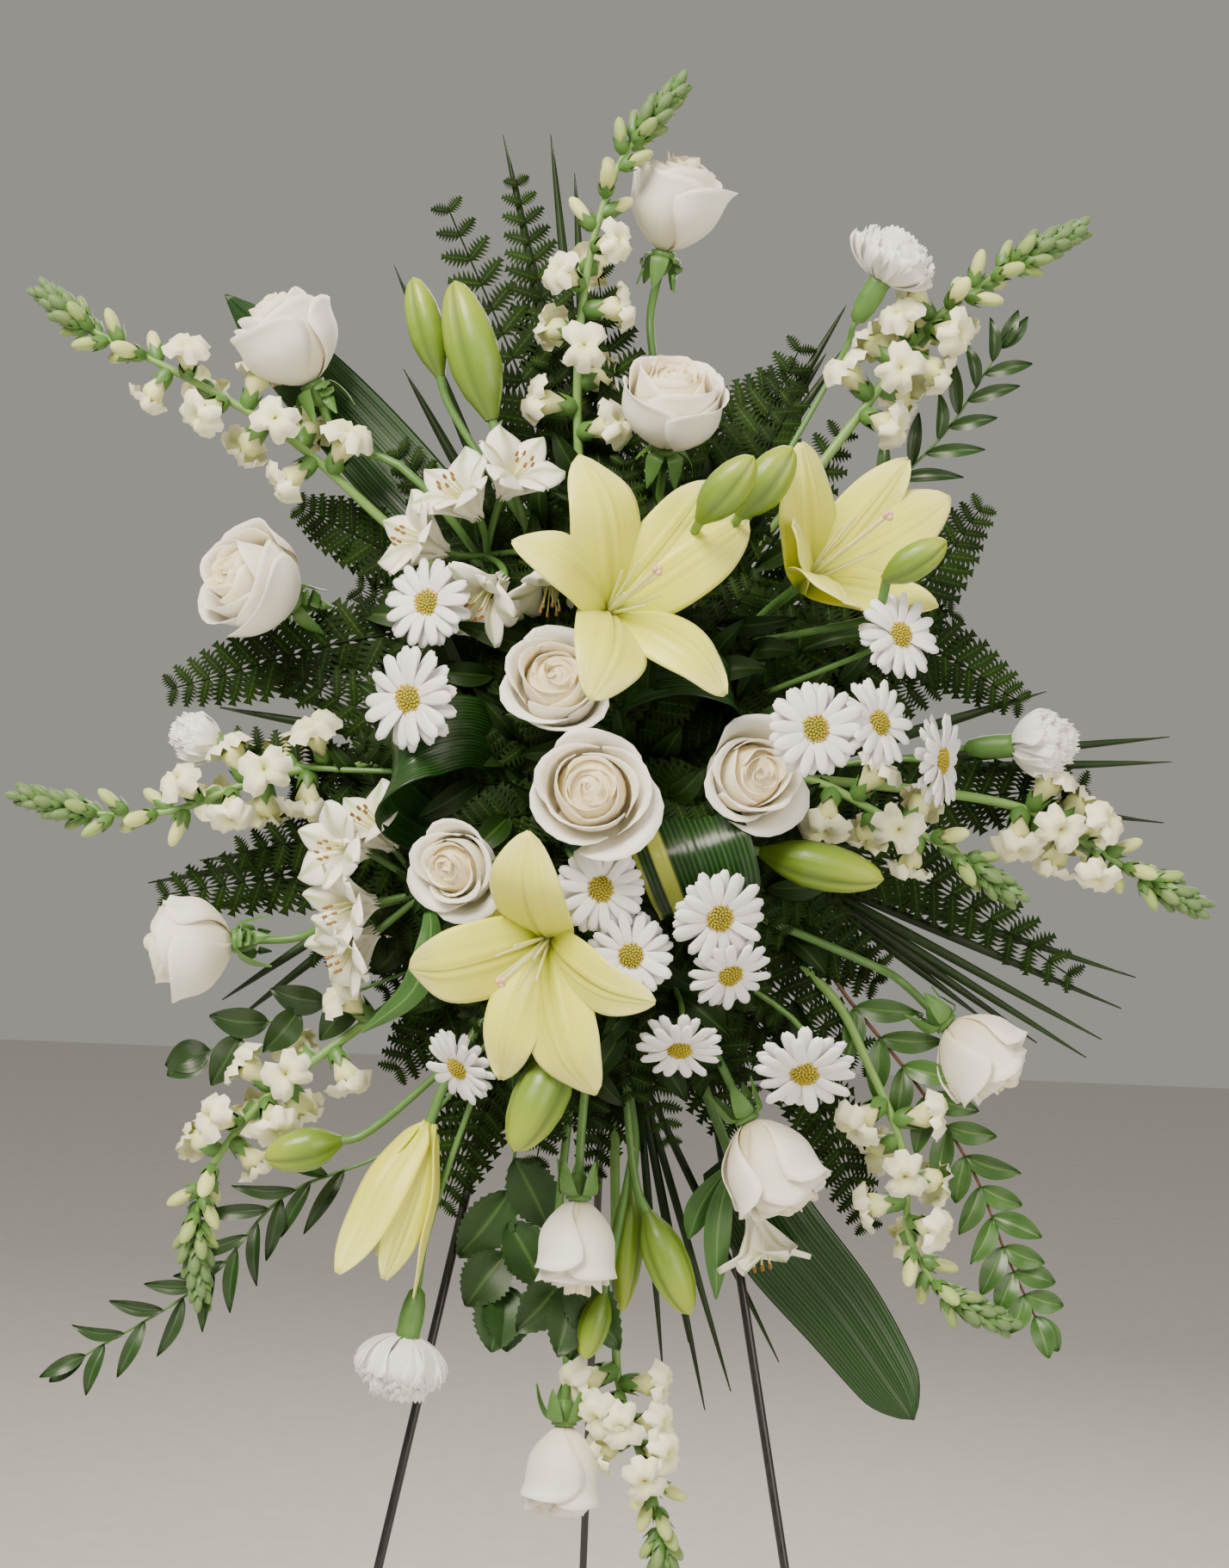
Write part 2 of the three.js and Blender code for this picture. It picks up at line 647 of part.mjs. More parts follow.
// Leafy stem: leaves in turn on both sides of it, and one at its tip
function leafySpray(spray, root, grow) {
  const path = new THREE.CatmullRomCurve3(spray.route.map(place), false, 'centripetal');
  const bands = spray.bands;
  const places = Array.from({ length: bands + 1 }, (_, k) => mix(spray.from, 0.97, k / bands));
  const centres = [root, path.getPoint(0), ...places.map((t) => path.getPoint(t)), path.getPoint(1)];
  const rings = centres.map((centre, k) => {
    const ahead = tangentAt(centres, k);
    if (k === centres.length - 1) return [centre.clone().addScaledVector(ahead, spray.length * 0.7)];
    const side = new THREE.Vector3().crossVectors(ahead, towardViewer).normalize();
    const at = (s, o) => centre.clone()
      .addScaledVector(side, s * (1.3 + grow)).addScaledVector(towardViewer, o * (1.3 + grow));
    return [at(-1, 1), at(1, 1), at(1, -1), at(-1, -1)];
  });
  const growths = [];
  for (let n = 0; n < bands; n += 1) {
    const band = n + 2;
    const ahead = tangentAt(centres, band);
    for (const sign of [1, -1]) {
      if (n % 2 === (sign > 0 ? 0 : 1) && !spray.paired) continue;
      const side = new THREE.Vector3().crossVectors(ahead, towardViewer).multiplyScalar(sign);
      const out = ahead.clone().addScaledVector(side, spray.spread).normalize();
      const edge = new THREE.Vector3().crossVectors(out, towardViewer).normalize();
      const base = centres[band].clone().lerp(centres[band + 1], 0.85);
      const length = spray.length * mix(1, 0.75, n / bands);
      const at = (f, e, o) => base.clone().addScaledVector(out, f * length)
        .addScaledVector(edge, e).addScaledVector(towardViewer, o);
      const wide = spray.half + grow;
      const tilt = -sign * wide;
      const lower = at(0.42, -tilt, 2.4);
      const upper = at(0.42, tilt, 2.4);
      const front = at(0.42, 0, 3.6 + grow);
      const back = at(0.42, 0, 1 - grow);
      const ring = sign > 0 ? [lower, back, upper, front] : [lower, front, upper, back];
      growths.push({ band, side: sign > 0 ? 1 : 3, ridged: true, sections: [ring, [at(1, 0, 2)]] });
    }
  }
  return buddedStem(rings, growths);
}

// Broad strap leaf on its stalk, flat or bent into a loop
function strapLeaf({ route, half, steps = 8, across = null, peak = 0.5 }, root, grow) {
  const points = curvePoints(route.map(place), steps);
  const turn = across ? new THREE.Vector3(...across).normalize() : null;
  const widthAt = (t) => Math.max(half * Math.sin(Math.PI * mix(0.1, 0.97, t ** 0.8)) ** peak, 3);
  const rings = bladeRings({
    points, widthAt, front: towardViewer, across: turn, thick: 1.6, droop: 0.08,
  }, grow);
  const side = rings[0][2].clone().sub(rings[0][0]).normalize();
  const over = rings[0][1].clone().sub(rings[0][3]).normalize();
  const foot = [[side, -1], [over, 1], [side, 1], [over, -1]].map(([axis, sign]) => (
    root.clone().addScaledVector(axis, sign * (strapStalkRadius + grow))));
  return loft([foot, ...rings]);
}

// Layout, each place as [across, down, depth]

const roses = [
  { name: 'rose_top', at: [783, 237, 70], turn: 80, tilt: 75, width: 60, height: 62, hub: 'upper',
    via: [[780, 380, 92]] },
  { name: 'rose_upper', at: [780, 472, 140], turn: 85, tilt: 52, width: 62, height: 58,
    hub: 'upper' },
  { name: 'rose_upper_left', at: [338, 395, 100], turn: 118, tilt: 80, width: 60, height: 60,
    hub: 'upper', via: [[470, 545, 100]] },
  { name: 'rose_left_high', at: [297, 678, 95], turn: 160, tilt: 50, width: 64, height: 60,
    hub: 'left' },
  { name: 'rose_left_low', at: [222, 1096, 85], turn: 185, tilt: 84, width: 60, height: 54,
    hub: 'left', via: [[330, 1078, 92]] },
  { name: 'rose_centre_high', at: [647, 797, 205], turn: 100, tilt: 22, width: 62, height: 50,
    hub: 'upper' },
  { name: 'rose_centre', at: [687, 920, 235], turn: 100, tilt: 8, width: 68, height: 50,
    hub: 'left' },
  { name: 'rose_centre_right', at: [870, 902, 190], turn: 20, tilt: 22, width: 62, height: 50,
    hub: 'right' },
  { name: 'rose_centre_left', at: [533, 1008, 190], turn: 170, tilt: 20, width: 54, height: 50,
    hub: 'left' },
  { name: 'rose_right_low', at: [1138, 1226, 95], turn: -41, tilt: 80, width: 54, height: 56,
    hub: 'right', via: [[1010, 1120, 98]] },
  { name: 'rose_lower_right', at: [895, 1357, 150], turn: -62, tilt: 78, width: 58, height: 64,
    hub: 'lower' },
  { name: 'rose_lower', at: [670, 1448, 150], turn: -90, tilt: 86, width: 48, height: 58,
    hub: 'lower' },
  { name: 'rose_bottom', at: [653, 1710, 100], turn: -90, tilt: 86, width: 46, height: 60,
    hub: 'lower', via: [[648, 1600, 104]] },
];

const carnations = [
  { name: 'carnation_upper_right', at: [1035, 304, 112], turn: 62, tilt: 75, width: 58, height: 28,
    hub: 'upper', via: [[985, 400, 92]] },
  { name: 'carnation_right', at: [1206, 865, 95], turn: 5, tilt: 75, width: 46, height: 34,
    hub: 'right', via: [[1110, 868, 98]] },
  { name: 'carnation_left', at: [232, 858, 75], turn: 165, tilt: 80, width: 36, height: 26,
    hub: 'left', via: [[330, 875, 98]] },
  { name: 'carnation_lower_left', at: [467, 1582, 128], turn: -100, tilt: 86, width: 60, height: 34,
    hub: 'lower', via: [[486, 1480, 128]] },
];

const daisyNodes = [
  ['daisy_left_high', [{ at: [497, 700, 170], turn: 150, tilt: 25, hub: 'left' }]],
  ['daisy_left', [{ at: [476, 812, 190], turn: 180, tilt: 30, hub: 'left', radius: 34 }]],
  ['daisies_right', [
    { at: [947, 847, 238], turn: 0, tilt: 10, hub: 'right' },
    { at: [1020, 840, 222], turn: 20, tilt: 40, hub: 'right', radius: 29 }]],
  ['daisy_right_high', [{ at: [1045, 738, 195], turn: 30, tilt: 30, hub: 'right', radius: 29 }]],
  ['daisy_far_right', [{ at: [1093, 884, 165], turn: 0, tilt: 62, hub: 'right' }]],
  ['daisies_centre', [
    { at: [698, 1033, 221], turn: 0, tilt: 4, hub: 'left', radius: 29 },
    { at: [733, 1110, 219], turn: 0, tilt: 6, hub: 'left', radius: 28 }]],
  ['daisies_centre_right', [
    { at: [836, 1066, 225], turn: -45, tilt: 24, hub: 'right' },
    { at: [848, 1132, 207], turn: -60, tilt: 40, hub: 'right', radius: 28 }]],
  ['daisy_lower', [{ at: [790, 1218, 190], turn: -90, tilt: 45, hub: 'lower', radius: 28 }]],
  ['daisy_lower_right', [{ at: [935, 1246, 190], turn: -90, tilt: 38, hub: 'lower', radius: 33 }]],
  ['daisy_lower_left', [{ at: [533, 1240, 180], turn: 220, tilt: 48, hub: 'lower', radius: 27 }]],
];

const lilies = [
  { name: 'lily_upper', at: [712, 707, 205], turn: 38, tilt: 30, cup: 34, bulge: 9, hub: 'upper',
    tips: [[678, 533], [822, 562], [865, 605], [840, 800], [690, 805], [604, 630]] },
  { name: 'lily_lower', at: [632, 1095, 212], turn: 222, tilt: 28, cup: 34, bulge: 9, hub: 'lower',
    tips: [[612, 975], [752, 1165], [686, 1268], [582, 1250], [480, 1128], [548, 1040, 150]] },
  { name: 'lily_right', at: [945, 668, 165], turn: 40, tilt: 42, cup: 46, bulge: 0, hub: 'right',
    scale: 0.8,
    tips: [[937, 518], [1056, 535], [1103, 577], [1088, 698], [985, 692], [930, 610]] },
];

const hangingLilyForm = {
  name: 'lily_half_open', base: [499, 1305, 130], tip: [425, 1485, 138], turn: -110, tilt: 86,
  hub: 'lower',
};

const buds = [
  { base: [512, 438, 110], tip: [480, 322, 110], hub: 'upper', width: 24, joins: 'bud_high',
    share: 0.35 },
  { name: 'bud_high', base: [572, 488, 130], tip: [528, 326, 130], hub: 'upper', width: 34 },
  { base: [812, 606, 232], tip: [876, 530, 250], hub: 'upper', width: 26, joins: 'lily_upper',
    share: 0.1 },
  { base: [858, 600, 205], tip: [921, 519, 215], hub: 'upper', width: 28, joins: 'lily_upper',
    share: 0.35 },
  { base: [1026, 674, 205], tip: [1100, 628, 215], hub: 'right', width: 22, joins: 'lily_right',
    share: 0.1 },
  { name: 'bud_right', base: [884, 990, 165], tip: [1027, 1022, 180], hub: 'right', width: 30 },
  { base: [655, 1215, 200], tip: [597, 1338, 212], hub: 'lower', width: 34, joins: 'lily_lower',
    share: 0.2 },
  { base: [397, 1325, 120], tip: [307, 1345, 125], hub: 'lower', width: 28,
    joins: 'lily_half_open', share: 0.15 },
  { name: 'bud_low', base: [752, 1408, 125], tip: [802, 1528, 130], hub: 'lower', width: 28 },
  { base: [735, 1365, 105], tip: [722, 1525, 108], hub: 'lower', width: 22, joins: 'bud_low',
    share: 0.4 },
  { base: [702, 1500, 122], tip: [678, 1580, 128], hub: 'lower', width: 20, joins: 'bud_low',
    share: 0.15 },
];

const snapdragons = [
  { name: 'snapdragon_top', from: 0.42,
    route: [[700, 760, 80], [672, 520, 96], [680, 330, 104], [720, 190, 104], [786, 104, 96]] },
  { name: 'snapdragon_upper_left', from: 0.36,
    route: [[650, 800, 80], [440, 600, 90], [330, 505, 95], [200, 430, 95], [110, 385, 90],
      [58, 345, 85]] },
  { name: 'snapdragon_left', from: 0.42,
    route: [[640, 900, 78], [380, 890, 86], [290, 910, 90], [200, 942, 90], [110, 945, 88],
      [30, 925, 85]] },
  { name: 'snapdragon_lower_left', from: 0.36,
    route: [[650, 1030, 80], [375, 1225, 85], [300, 1285, 90], [240, 1370, 90], [228, 1430, 90],
      [232, 1500, 88]] },
  { name: 'snapdragon_upper_right', from: 0.5,
    route: [[752, 800, 80], [1000, 480, 85], [1060, 400, 90], [1110, 350, 88], [1180, 305, 85],
      [1245, 272, 80]] },
  { name: 'snapdragon_right', from: 0.58,
    route: [[780, 890, 75], [1150, 930, 80], [1215, 950, 85], [1270, 985, 85], [1330, 1020, 82],
      [1385, 1050, 80]] },
  { name: 'snapdragon_lower_right', from: 0.4,
    route: [[770, 1020, 80], [960, 1150, 85], [1010, 1240, 90], [1050, 1340, 92],
      [1058, 1440, 90], [1095, 1500, 90], [1160, 1535, 85]] },
  { name: 'snapdragon_bottom', from: 0.66,
    route: [[712, 1070, 75], [716, 1500, 76], [718, 1600, 84], [740, 1680, 88], [765, 1760, 86],
      [770, 1850, 84]] },
  { name: 'snapdragon_centre_right', from: 0.34,
    route: [[782, 930, 112], [930, 905, 130], [1030, 950, 138], [1100, 985, 138],
      [1170, 1035, 132]] },
];

const alstroemerias = [
  { name: 'alstroemeria_upper_left', fork: [565, 645, 120], root: [-40, -92, 1255],
    florets: [[600, 545, 150, 60, 50], [532, 570, 150, 130, 55], [482, 625, 140, 160, 60],
      [560, 695, 165, 230, 50], [640, 688, 158, 270, 60]] },
  { name: 'alstroemeria_left', fork: [495, 1035, 130], root: [-30, -112, 1160],
    florets: [[392, 985, 150, 170, 45], [432, 955, 140, 130, 60], [400, 1055, 150, 190, 50],
      [402, 1105, 140, 215, 60]],
    leaves: [[[500, 1090, 160], [480, 1150, 165], [420, 1200, 160]]] },
  { name: 'alstroemeria_bottom', fork: [850, 1350, 105], root: [20, -84, 1110],
    florets: [[885, 1452, 108, 285, 75]],
    leaves: [[[835, 1420, 112], [832, 1510, 112]], [[815, 1400, 105], [800, 1440, 105]]] },
];

const loopedLeaves = [
  { half: 24, across: [0.25, 0.2, 1], steps: 7,
    route: [[600, 880, 130], [545, 850, 168], [480, 868, 180], [452, 920, 168], [490, 960, 140],
      [590, 985, 132]] },
  { half: 24, across: [-0.2, 0.5, 0.8], steps: 6,
    route: [[722, 850, 136], [728, 790, 160], [790, 772, 178], [846, 800, 170], [848, 860, 140]] },
  { half: 36, across: [1, 0, 0.35], steps: 7,
    route: [[748, 905, 128], [778, 930, 166], [806, 990, 200], [822, 1042, 192],
      [812, 1046, 165], [800, 1020, 135]] },
];

const flatLeaves = [
  { half: 27, steps: 5, route: [[560, 660, 86], [470, 560, 70], [360, 440, 62], [262, 342, 64]] },
  { half: 31, steps: 6, peak: 0.35,
    route: [[850, 1340, 86], [900, 1430, 84], [980, 1530, 84], [1062, 1650, 84]] },
];

const fronds = [
  { route: [[560, 740, 66], [430, 740, 68], [310, 770, 68], [200, 800, 66]], half: 17, leaflets: 6 },
  { route: [[560, 700, 66], [450, 640, 68], [350, 590, 66]], half: 15, leaflets: 6 },
  { route: [[660, 640, 66], [620, 480, 70], [520, 240, 66]], half: 17, leaflets: 6 },
  { route: [[680, 600, 68], [640, 400, 64], [600, 210, 62]], half: 14, leaflets: 6 },
  { route: [[790, 700, 66], [830, 520, 66], [925, 430, 62]], half: 15, leaflets: 6 },
  { route: [[880, 780, 64], [1050, 700, 66], [1140, 590, 64]], half: 16, leaflets: 6 },
  { route: [[880, 800, 66], [1060, 750, 70], [1185, 815, 66]], half: 16, leaflets: 6 },
  { route: [[860, 930, 66], [1060, 930, 68], [1260, 915, 64]], half: 17, leaflets: 6 },
  { route: [[850, 980, 66], [1050, 1010, 68], [1245, 1135, 64]], half: 17, leaflets: 6 },
  { route: [[620, 1100, 66], [570, 1250, 68], [515, 1400, 66]], half: 17, leaflets: 6 },
  { route: [[850, 1150, 66], [950, 1280, 66], [1008, 1424, 64]], half: 15, leaflets: 6 },
  { route: [[560, 1000, 66], [380, 1010, 66], [190, 1040, 62]], half: 17, leaflets: 6 },
];

const fans = [
  { foot: [900, 1000, 59], half: 3.2,
    tips: [[1320, 1136], [1303, 1172], [1280, 1208], [1262, 1229], [1205, 1212], [1150, 1190]] },
  { foot: [900, 900, 58], tips: [[1216, 803], [1359, 856], [1362, 885], [1352, 956]] },
  { foot: [560, 960, 59],
    tips: [[172, 1026], [258, 1162], [275, 1185], [232, 1000], [200, 1070]] },
  { foot: [580, 880, 58], tips: [[255, 822], [290, 792]] },
  { foot: [690, 640, 58], tips: [[585, 157], [640, 155], [668, 200]] },
  { foot: [620, 700, 59], tips: [[458, 307], [469, 428]] },
  { foot: [790, 680, 58], tips: [[983, 355], [987, 396], [960, 410]] },
  { foot: [740, 1240, 60], half: 2.6,
    tips: [[770, 1592], [819, 1639], [849, 1617], [905, 1583], [891, 1553], [800, 1560]] },
];

const sprays = [
  { route: [[560, 1230, 74], [455, 1335, 78], [330, 1390, 80], [240, 1488, 80], [90, 1580, 78]],
    from: 0.36, bands: 10, length: 50, half: 6.5, spread: 0.75 },
  { route: [[860, 760, 74], [1000, 600, 76], [1100, 500, 78], [1165, 400, 76]],
    from: 0.42, bands: 7, length: 42, half: 6, spread: 0.9 },
  { route: [[880, 1020, 74], [985, 1160, 76], [1065, 1260, 76], [1130, 1360, 76],
    [1170, 1460, 76], [1205, 1535, 74]],
  from: 0.22, bands: 7, paired: true, length: 42, half: 8, spread: 1 },
  { route: [[560, 1080, 74], [420, 1150, 76], [330, 1180, 76], [240, 1222, 74]],
    from: 0.35, bands: 4, length: 46, half: 11, spread: 0.7 },
  { route: [[640, 1180, 74], [600, 1330, 78], [585, 1500, 80]],
    from: 0.55, bands: 3, length: 52, half: 12.5, spread: 0.7 },
  { route: [[690, 1180, 74], [668, 1400, 100], [660, 1500, 112]],
    from: 0.8, bands: 2, length: 58, half: 12.5, spread: 0.7 },
];

// Lines in the foam that the stems of a group are rooted along, in the order of their places
const rootLines = {
  upper: { from: [-48, -100, 1280], to: [34, -100, 1280], axis: 'x' },
  left: { from: [-42, -100, 1140], to: [-42, -100, 1250], axis: 'z' },
  right: { from: [26, -100, 1140], to: [26, -100, 1250], axis: 'z' },
  lower: { from: [-52, -100, 1108], to: [36, -100, 1108], axis: 'x' },
};
const loopLine = { from: [-30, -113, 1195], to: [14, -113, 1195], axis: 'x' };
const flatLine = { from: [-20, -87, 1180], to: [0, -87, 1180], axis: 'x' };
const frondLine = { from: [-8, -68, 1120], to: [-8, -68, 1270], axis: 'z' };
const fanLine = { from: [-14, -58.5, 1120], to: [-14, -58.5, 1270], axis: 'z' };
const sprayLine = { from: [-2, -76, 1130], to: [-2, -76, 1240], axis: 'z' };

// Pieces rooted one after another along a line, which a short stem runs down to hold them
function rootedAlong(line, radius, entries, grow) {
  const from = new THREE.Vector3(...line.from);
  const to = new THREE.Vector3(...line.to);
  const sorted = [...entries].sort((a, b) => a.end[line.axis] - b.end[line.axis]);
  const parts = sorted.map(({ build }, k) => (
    build(from.clone().lerp(to, (k + 0.5) / sorted.length), grow)));
  const first = from.clone().lerp(to, 0.3 / sorted.length);
  const last = from.clone().lerp(to, 1 - 0.3 / sorted.length);
  return joined([...parts, stem([first, last], [radius, radius], 3, grow)]);
}

function legPoint(side, height) {
  const drop = easelTop - height;
  return new THREE.Vector3(side * (wireRadius + 0.4 + legSplay * drop), -legLean * drop, height);
}

// Wire rod whose ends are cut level
function levelRod(foot, top, grow) {
  const ring = (centre) => Array.from({ length: 8 }, (_, i) => {
    const angle = ((i + 0.5) * Math.PI) / 4;
    const radius = wireRadius + grow;
    const turned = new THREE.Vector3(radius * Math.cos(angle), radius * Math.sin(angle), 0);
    return turned.add(centre);
  });
  return loft([ring(foot), ring(top)]);
}

function crossBar(height, halfLength, forward, grow) {
  const y = legPoint(1, height).y - forward;
  const geometry = new THREE.CylinderGeometry(
    wireRadius + grow, wireRadius + grow, 2 * (halfLength + grow), 8);
  geometry.rotateZ(Math.PI / 2);
  geometry.translate(0, y, height);
  return solidOf(geometry);
}

// Back leg with the eye that turns on the hinge bar
function backLeg(grow) {
  const pivot = new THREE.Vector3(0, legPoint(1, hingeHeight).y, hingeHeight);
  const eye = new THREE.Shape().absarc(0, 0, hingeEyeOuter + grow, 0, 2 * Math.PI);
  eye.holes.push(new THREE.Path().absarc(0, 0, wireRadius + 0.5 - grow, 0, 2 * Math.PI));
  const width = hingeEyeWidth + 2 * grow;
  const ring = new THREE.ExtrudeGeometry(eye, { depth: width, bevelEnabled: false, curveSegments: 6 });
  ring.translate(0, 0, -width / 2);
  ring.rotateY(Math.PI / 2);
  ring.translate(pivot.x, pivot.y, pivot.z);
  const foot = new THREE.Vector3(0, backFootReach, 0);
  const ahead = foot.clone().sub(pivot).normalize();
  const top = pivot.clone().addScaledVector(ahead, hingeEyeOuter - 1);
  return joined([solidOf(ring), levelRod(foot, top, grow)]);
}

function block(width, depth, height, centre) {
  const geometry = new THREE.BoxGeometry(width, depth, height);
  geometry.translate(centre.x, centre.y, centre.z);
  return solidOf(geometry);
}

// Shallow plastic tray behind the foam, with two hooks over the hanger bar
function foamTray(grow) {
  const back = foamCentre.y + foamDepth / 2 + clearance;
  const gap = 2 * clearance;
  const plateDepth = trayWall + trayRim;
  const centre = new THREE.Vector3(foamCentre.x, back + trayWall - plateDepth / 2, foamCentre.z);
  const outer = block(foamWidth + gap + 2 * trayWall + 2 * grow, plateDepth + 2 * grow,
    foamHeight + gap + 2 * trayWall + 2 * grow, centre);
  const hollow = new THREE.Vector3(foamCentre.x, back - foamDepth / 2, foamCentre.z);
  const inner = block(foamWidth + gap, foamDepth, foamHeight + gap, hollow);
  const barY = legPoint(1, hangerBarHeight).y - 2 * wireRadius - clearance;
  const parts = [outer.subtract(inner)];
  for (const side of [-1, 1]) {
    const x = side * 40 + foamCentre.x;
    const top = hangerBarHeight + wireRadius + clearance + 1.5;
    const reach = back + trayWall - 1;
    const rear = barY + wireRadius + clearance + 3;
    const arm = new THREE.Vector3(x, (reach + rear) / 2, top);
    const lip = new THREE.Vector3(x, rear - 1.5, top - 4);
    parts.push(block(10, rear - reach, 3, arm), block(10, 3, 11, lip));
  }
  return joined(parts);
}

// Foam with slits from side to side for the stalks of the palm, fern and leaf layers, and a
// groove inside it round each line that stems are rooted along
function foamBlock() {
  const slits = [fanLine, frondLine, sprayLine].map(({ from, to }) => {
    const height = to[2] - from[2] + 2 * slitMargin;
    const centre = new THREE.Vector3(foamCentre.x, from[1], (from[2] + to[2]) / 2);
    return block(foamWidth + 20, slitWidth, height, centre);
  });
  const grooves = [...Object.values(rootLines), loopLine, flatLine].map(({ from, to }) => {
    const first = new THREE.Vector3(...from);
    const last = new THREE.Vector3(...to);
    const size = last.clone().sub(first).addScalar(2 * grooveMargin);
    return block(size.x, size.y, size.z, first.lerp(last, 0.5));
  });
  return block(foamWidth, foamDepth, foamHeight, foamCentre).subtract(joined([...slits, ...grooves]));
}

// Stems of the flowers that are rooted along one line, with their calyces. A lily bud's stalk
// that joins another stem ends on it, part of the way down to its root.
function stemGroup(name, grow) {
  const here = (record) => record.hub === name;
  const list = (records, maker) => records.filter(here).map((record) => ({
    record, maker, end: place(record.at ?? record.base),
  }));
  const entries = [
    ...list(roses, roseStem),
    ...list(carnations, carnationStem),
    ...list(daisyNodes.flatMap(([, blooms]) => blooms), daisyStem),
    ...list(lilies, lilyStem),
    ...list(buds.filter((record) => !record.joins), budStem),
    ...list([hangingLilyForm], hangingStem),
  ];
  const roots = new Map();
  const rooted = entries.map(({ record, maker, end }) => ({
    end,
    build: (root, g) => {
      roots.set(record.name, root);
      return maker(record, root, g);
    },
  }));
  const stems = rootedAlong(rootLines[name], 2, rooted, grow);
  const joining = buds.filter(here).filter((record) => record.joins).map((record) => {
    const host = entries.find((entry) => entry.record.name === record.joins).record;
    return budStem(record, lastBend(host).lerp(roots.get(host.name), record.share), grow);
  });
  return joined([stems, ...joining]);
}

// Where a lily's or bud's stem bends before it runs straight to its root
function lastBend(record) {
  const start = place(record.at ?? record.base);
  if (record.tilt === undefined) return start.lerp(place(record.tip), -budStalkShare);
  const behind = record.at ? lilyDepth + 2 * clearance : hangingStalkStart;
  return start.addScaledVector(facing(record.turn, record.tilt), -behind - straightStalk);
}

function rootedList(line, records, maker, radius, grow) {
  return rootedAlong(line, radius, records.map((record) => ({
    end: place(record.foot ?? record.route[record.route.length - 1]),
    build: (root, g) => maker(record, root, g),
  })), grow);
}

// Every piece by name, in order of rank: where two would cross, the later one is cut clear
const pieces = [
  ['easel_left_leg', wireBlack, (g) => levelRod(legPoint(-1, 0), legPoint(-1, easelTop), g)],
  ['easel_right_leg', wireBlack, (g) => levelRod(legPoint(1, 0), legPoint(1, easelTop), g)],
  ['easel_hinge_bar', wireBlack, (g) => crossBar(hingeHeight,
    legPoint(1, hingeHeight).x - wireRadius - clearance, 0, g)],
  ['easel_back_leg', wireBlack, backLeg],
  ['easel_hanger_bar', wireBlack, (g) => crossBar(hangerBarHeight, barHalfLength,
    2 * wireRadius + clearance, g)],
  ['easel_lower_bar', wireBlack, (g) => crossBar(lowerBarHeight, barHalfLength,
    2 * wireRadius + clearance, g)],
  ['foam_tray', 0x2b3b2c, foamTray],
  ...Object.keys(rootLines).map((name) => [`stems_${name}`, stemGreen, (g) => stemGroup(name, g)]),
  ...snapdragons.map((spike) => [spike.name, 0xdde3c0, (g) => snapdragon(spike, g)]),
  ...lilies.map((bloom) => [bloom.name, lemon, (g) => lily(bloom, g)]),
  [hangingLilyForm.name, lemon, (g) => hangingLily(hangingLilyForm, g)],
  ...roses.map((bloom) => [bloom.name, ivory, (g) => spiralBloom(bloom, roseForm, g)]),
  ...carnations.map((bloom) => [bloom.name, white, (g) => spiralBloom(bloom, carnationForm, g)]),
  ...daisyNodes.map(([name, blooms]) => [name, white, (g) => joined(blooms.map((b) => daisy(b, g)))]),
  ...alstroemerias.map((spray) => [spray.name, 0xeef0dc, (g) => alstroemeria(spray, g)]),
  ['aspidistra_loops', darkGreen, (g) => rootedList(loopLine, loopedLeaves, strapLeaf, 2, g)],
  ['aspidistra_leaves', darkGreen, (g) => rootedList(flatLine, flatLeaves, strapLeaf, 2, g)],
  ['leafy_sprays', leafGreen, (g) => rootedList(sprayLine, sprays, leafySpray, 1.6, g)],
  ['fern_fronds', fernGreen, (g) => rootedList(frondLine, fronds, frond, 1.5, g)],
  ['palm_blades', darkGreen, (g) => rootedList(fanLine, fans, palmFan, 1.5, g)],
  ['floral_foam', foamGreen, foamBlock],
];

function overlaps(a, b) {
  return [0, 1, 2].every((i) => a.min[i] <= b.max[i] && b.min[i] <= a.max[i]);
}

function largestBody(solid) {
  const bodies = solid.decompose();
  return bodies.reduce((best, body) => (body.volume() > best.volume() ? body : best));
}

// Cuts each piece clear of those before it, and keeps the part that is still rooted
function clearOfEachOther(list) {
  const done = [];
  for (const [name, colour, build] of list) {
    let solid = build(0);
    const box = solid.boundingBox();
    for (const earlier of done) {
      if (overlaps(box, earlier.box)) solid = solid.subtract(earlier.grown);
    }
    solid = largestBody(solid);
    const grown = joined([build(clearance), solid]);
    done.push({ name, colour, solid, grown, box: grown.boundingBox() });
  }
  return done;
}

function geometryOf(solid) {
  const mesh = solid.getMesh();
  const geometry = new THREE.BufferGeometry();
  const positions = new Float32Array(mesh.numVert * 3);
  for (let i = 0; i < mesh.numVert; i += 1) {
    for (let c = 0; c < 3; c += 1) positions[i * 3 + c] = mesh.vertProperties[i * mesh.numProp + c];
  }
  geometry.setAttribute('position', new THREE.BufferAttribute(positions, 3));
  geometry.setIndex(new THREE.BufferAttribute(new Uint32Array(mesh.triVerts), 1));
  return geometry;
}

const arrangement = new THREE.Group();
for (const { name, colour, solid } of clearOfEachOther(pieces)) {
  const metal = colour === wireBlack;
  const material = new THREE.MeshStandardMaterial({
    color: colour, roughness: metal ? 0.4 : 0.6, metalness: metal ? 0.3 : 0,
  });
  const mesh = new THREE.Mesh(geometryOf(solid), material);
  mesh.name = name;
  arrangement.add(mesh);
}

// Origin under the middle of the box
const box = new THREE.Box3().setFromObject(arrangement);
arrangement.position.set(-(box.min.x + box.max.x) / 2, -(box.min.y + box.max.y) / 2, -box.min.z);

export default arrangement;
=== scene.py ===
import math

import bpy
import numpy as np
from mathutils import Matrix, Vector


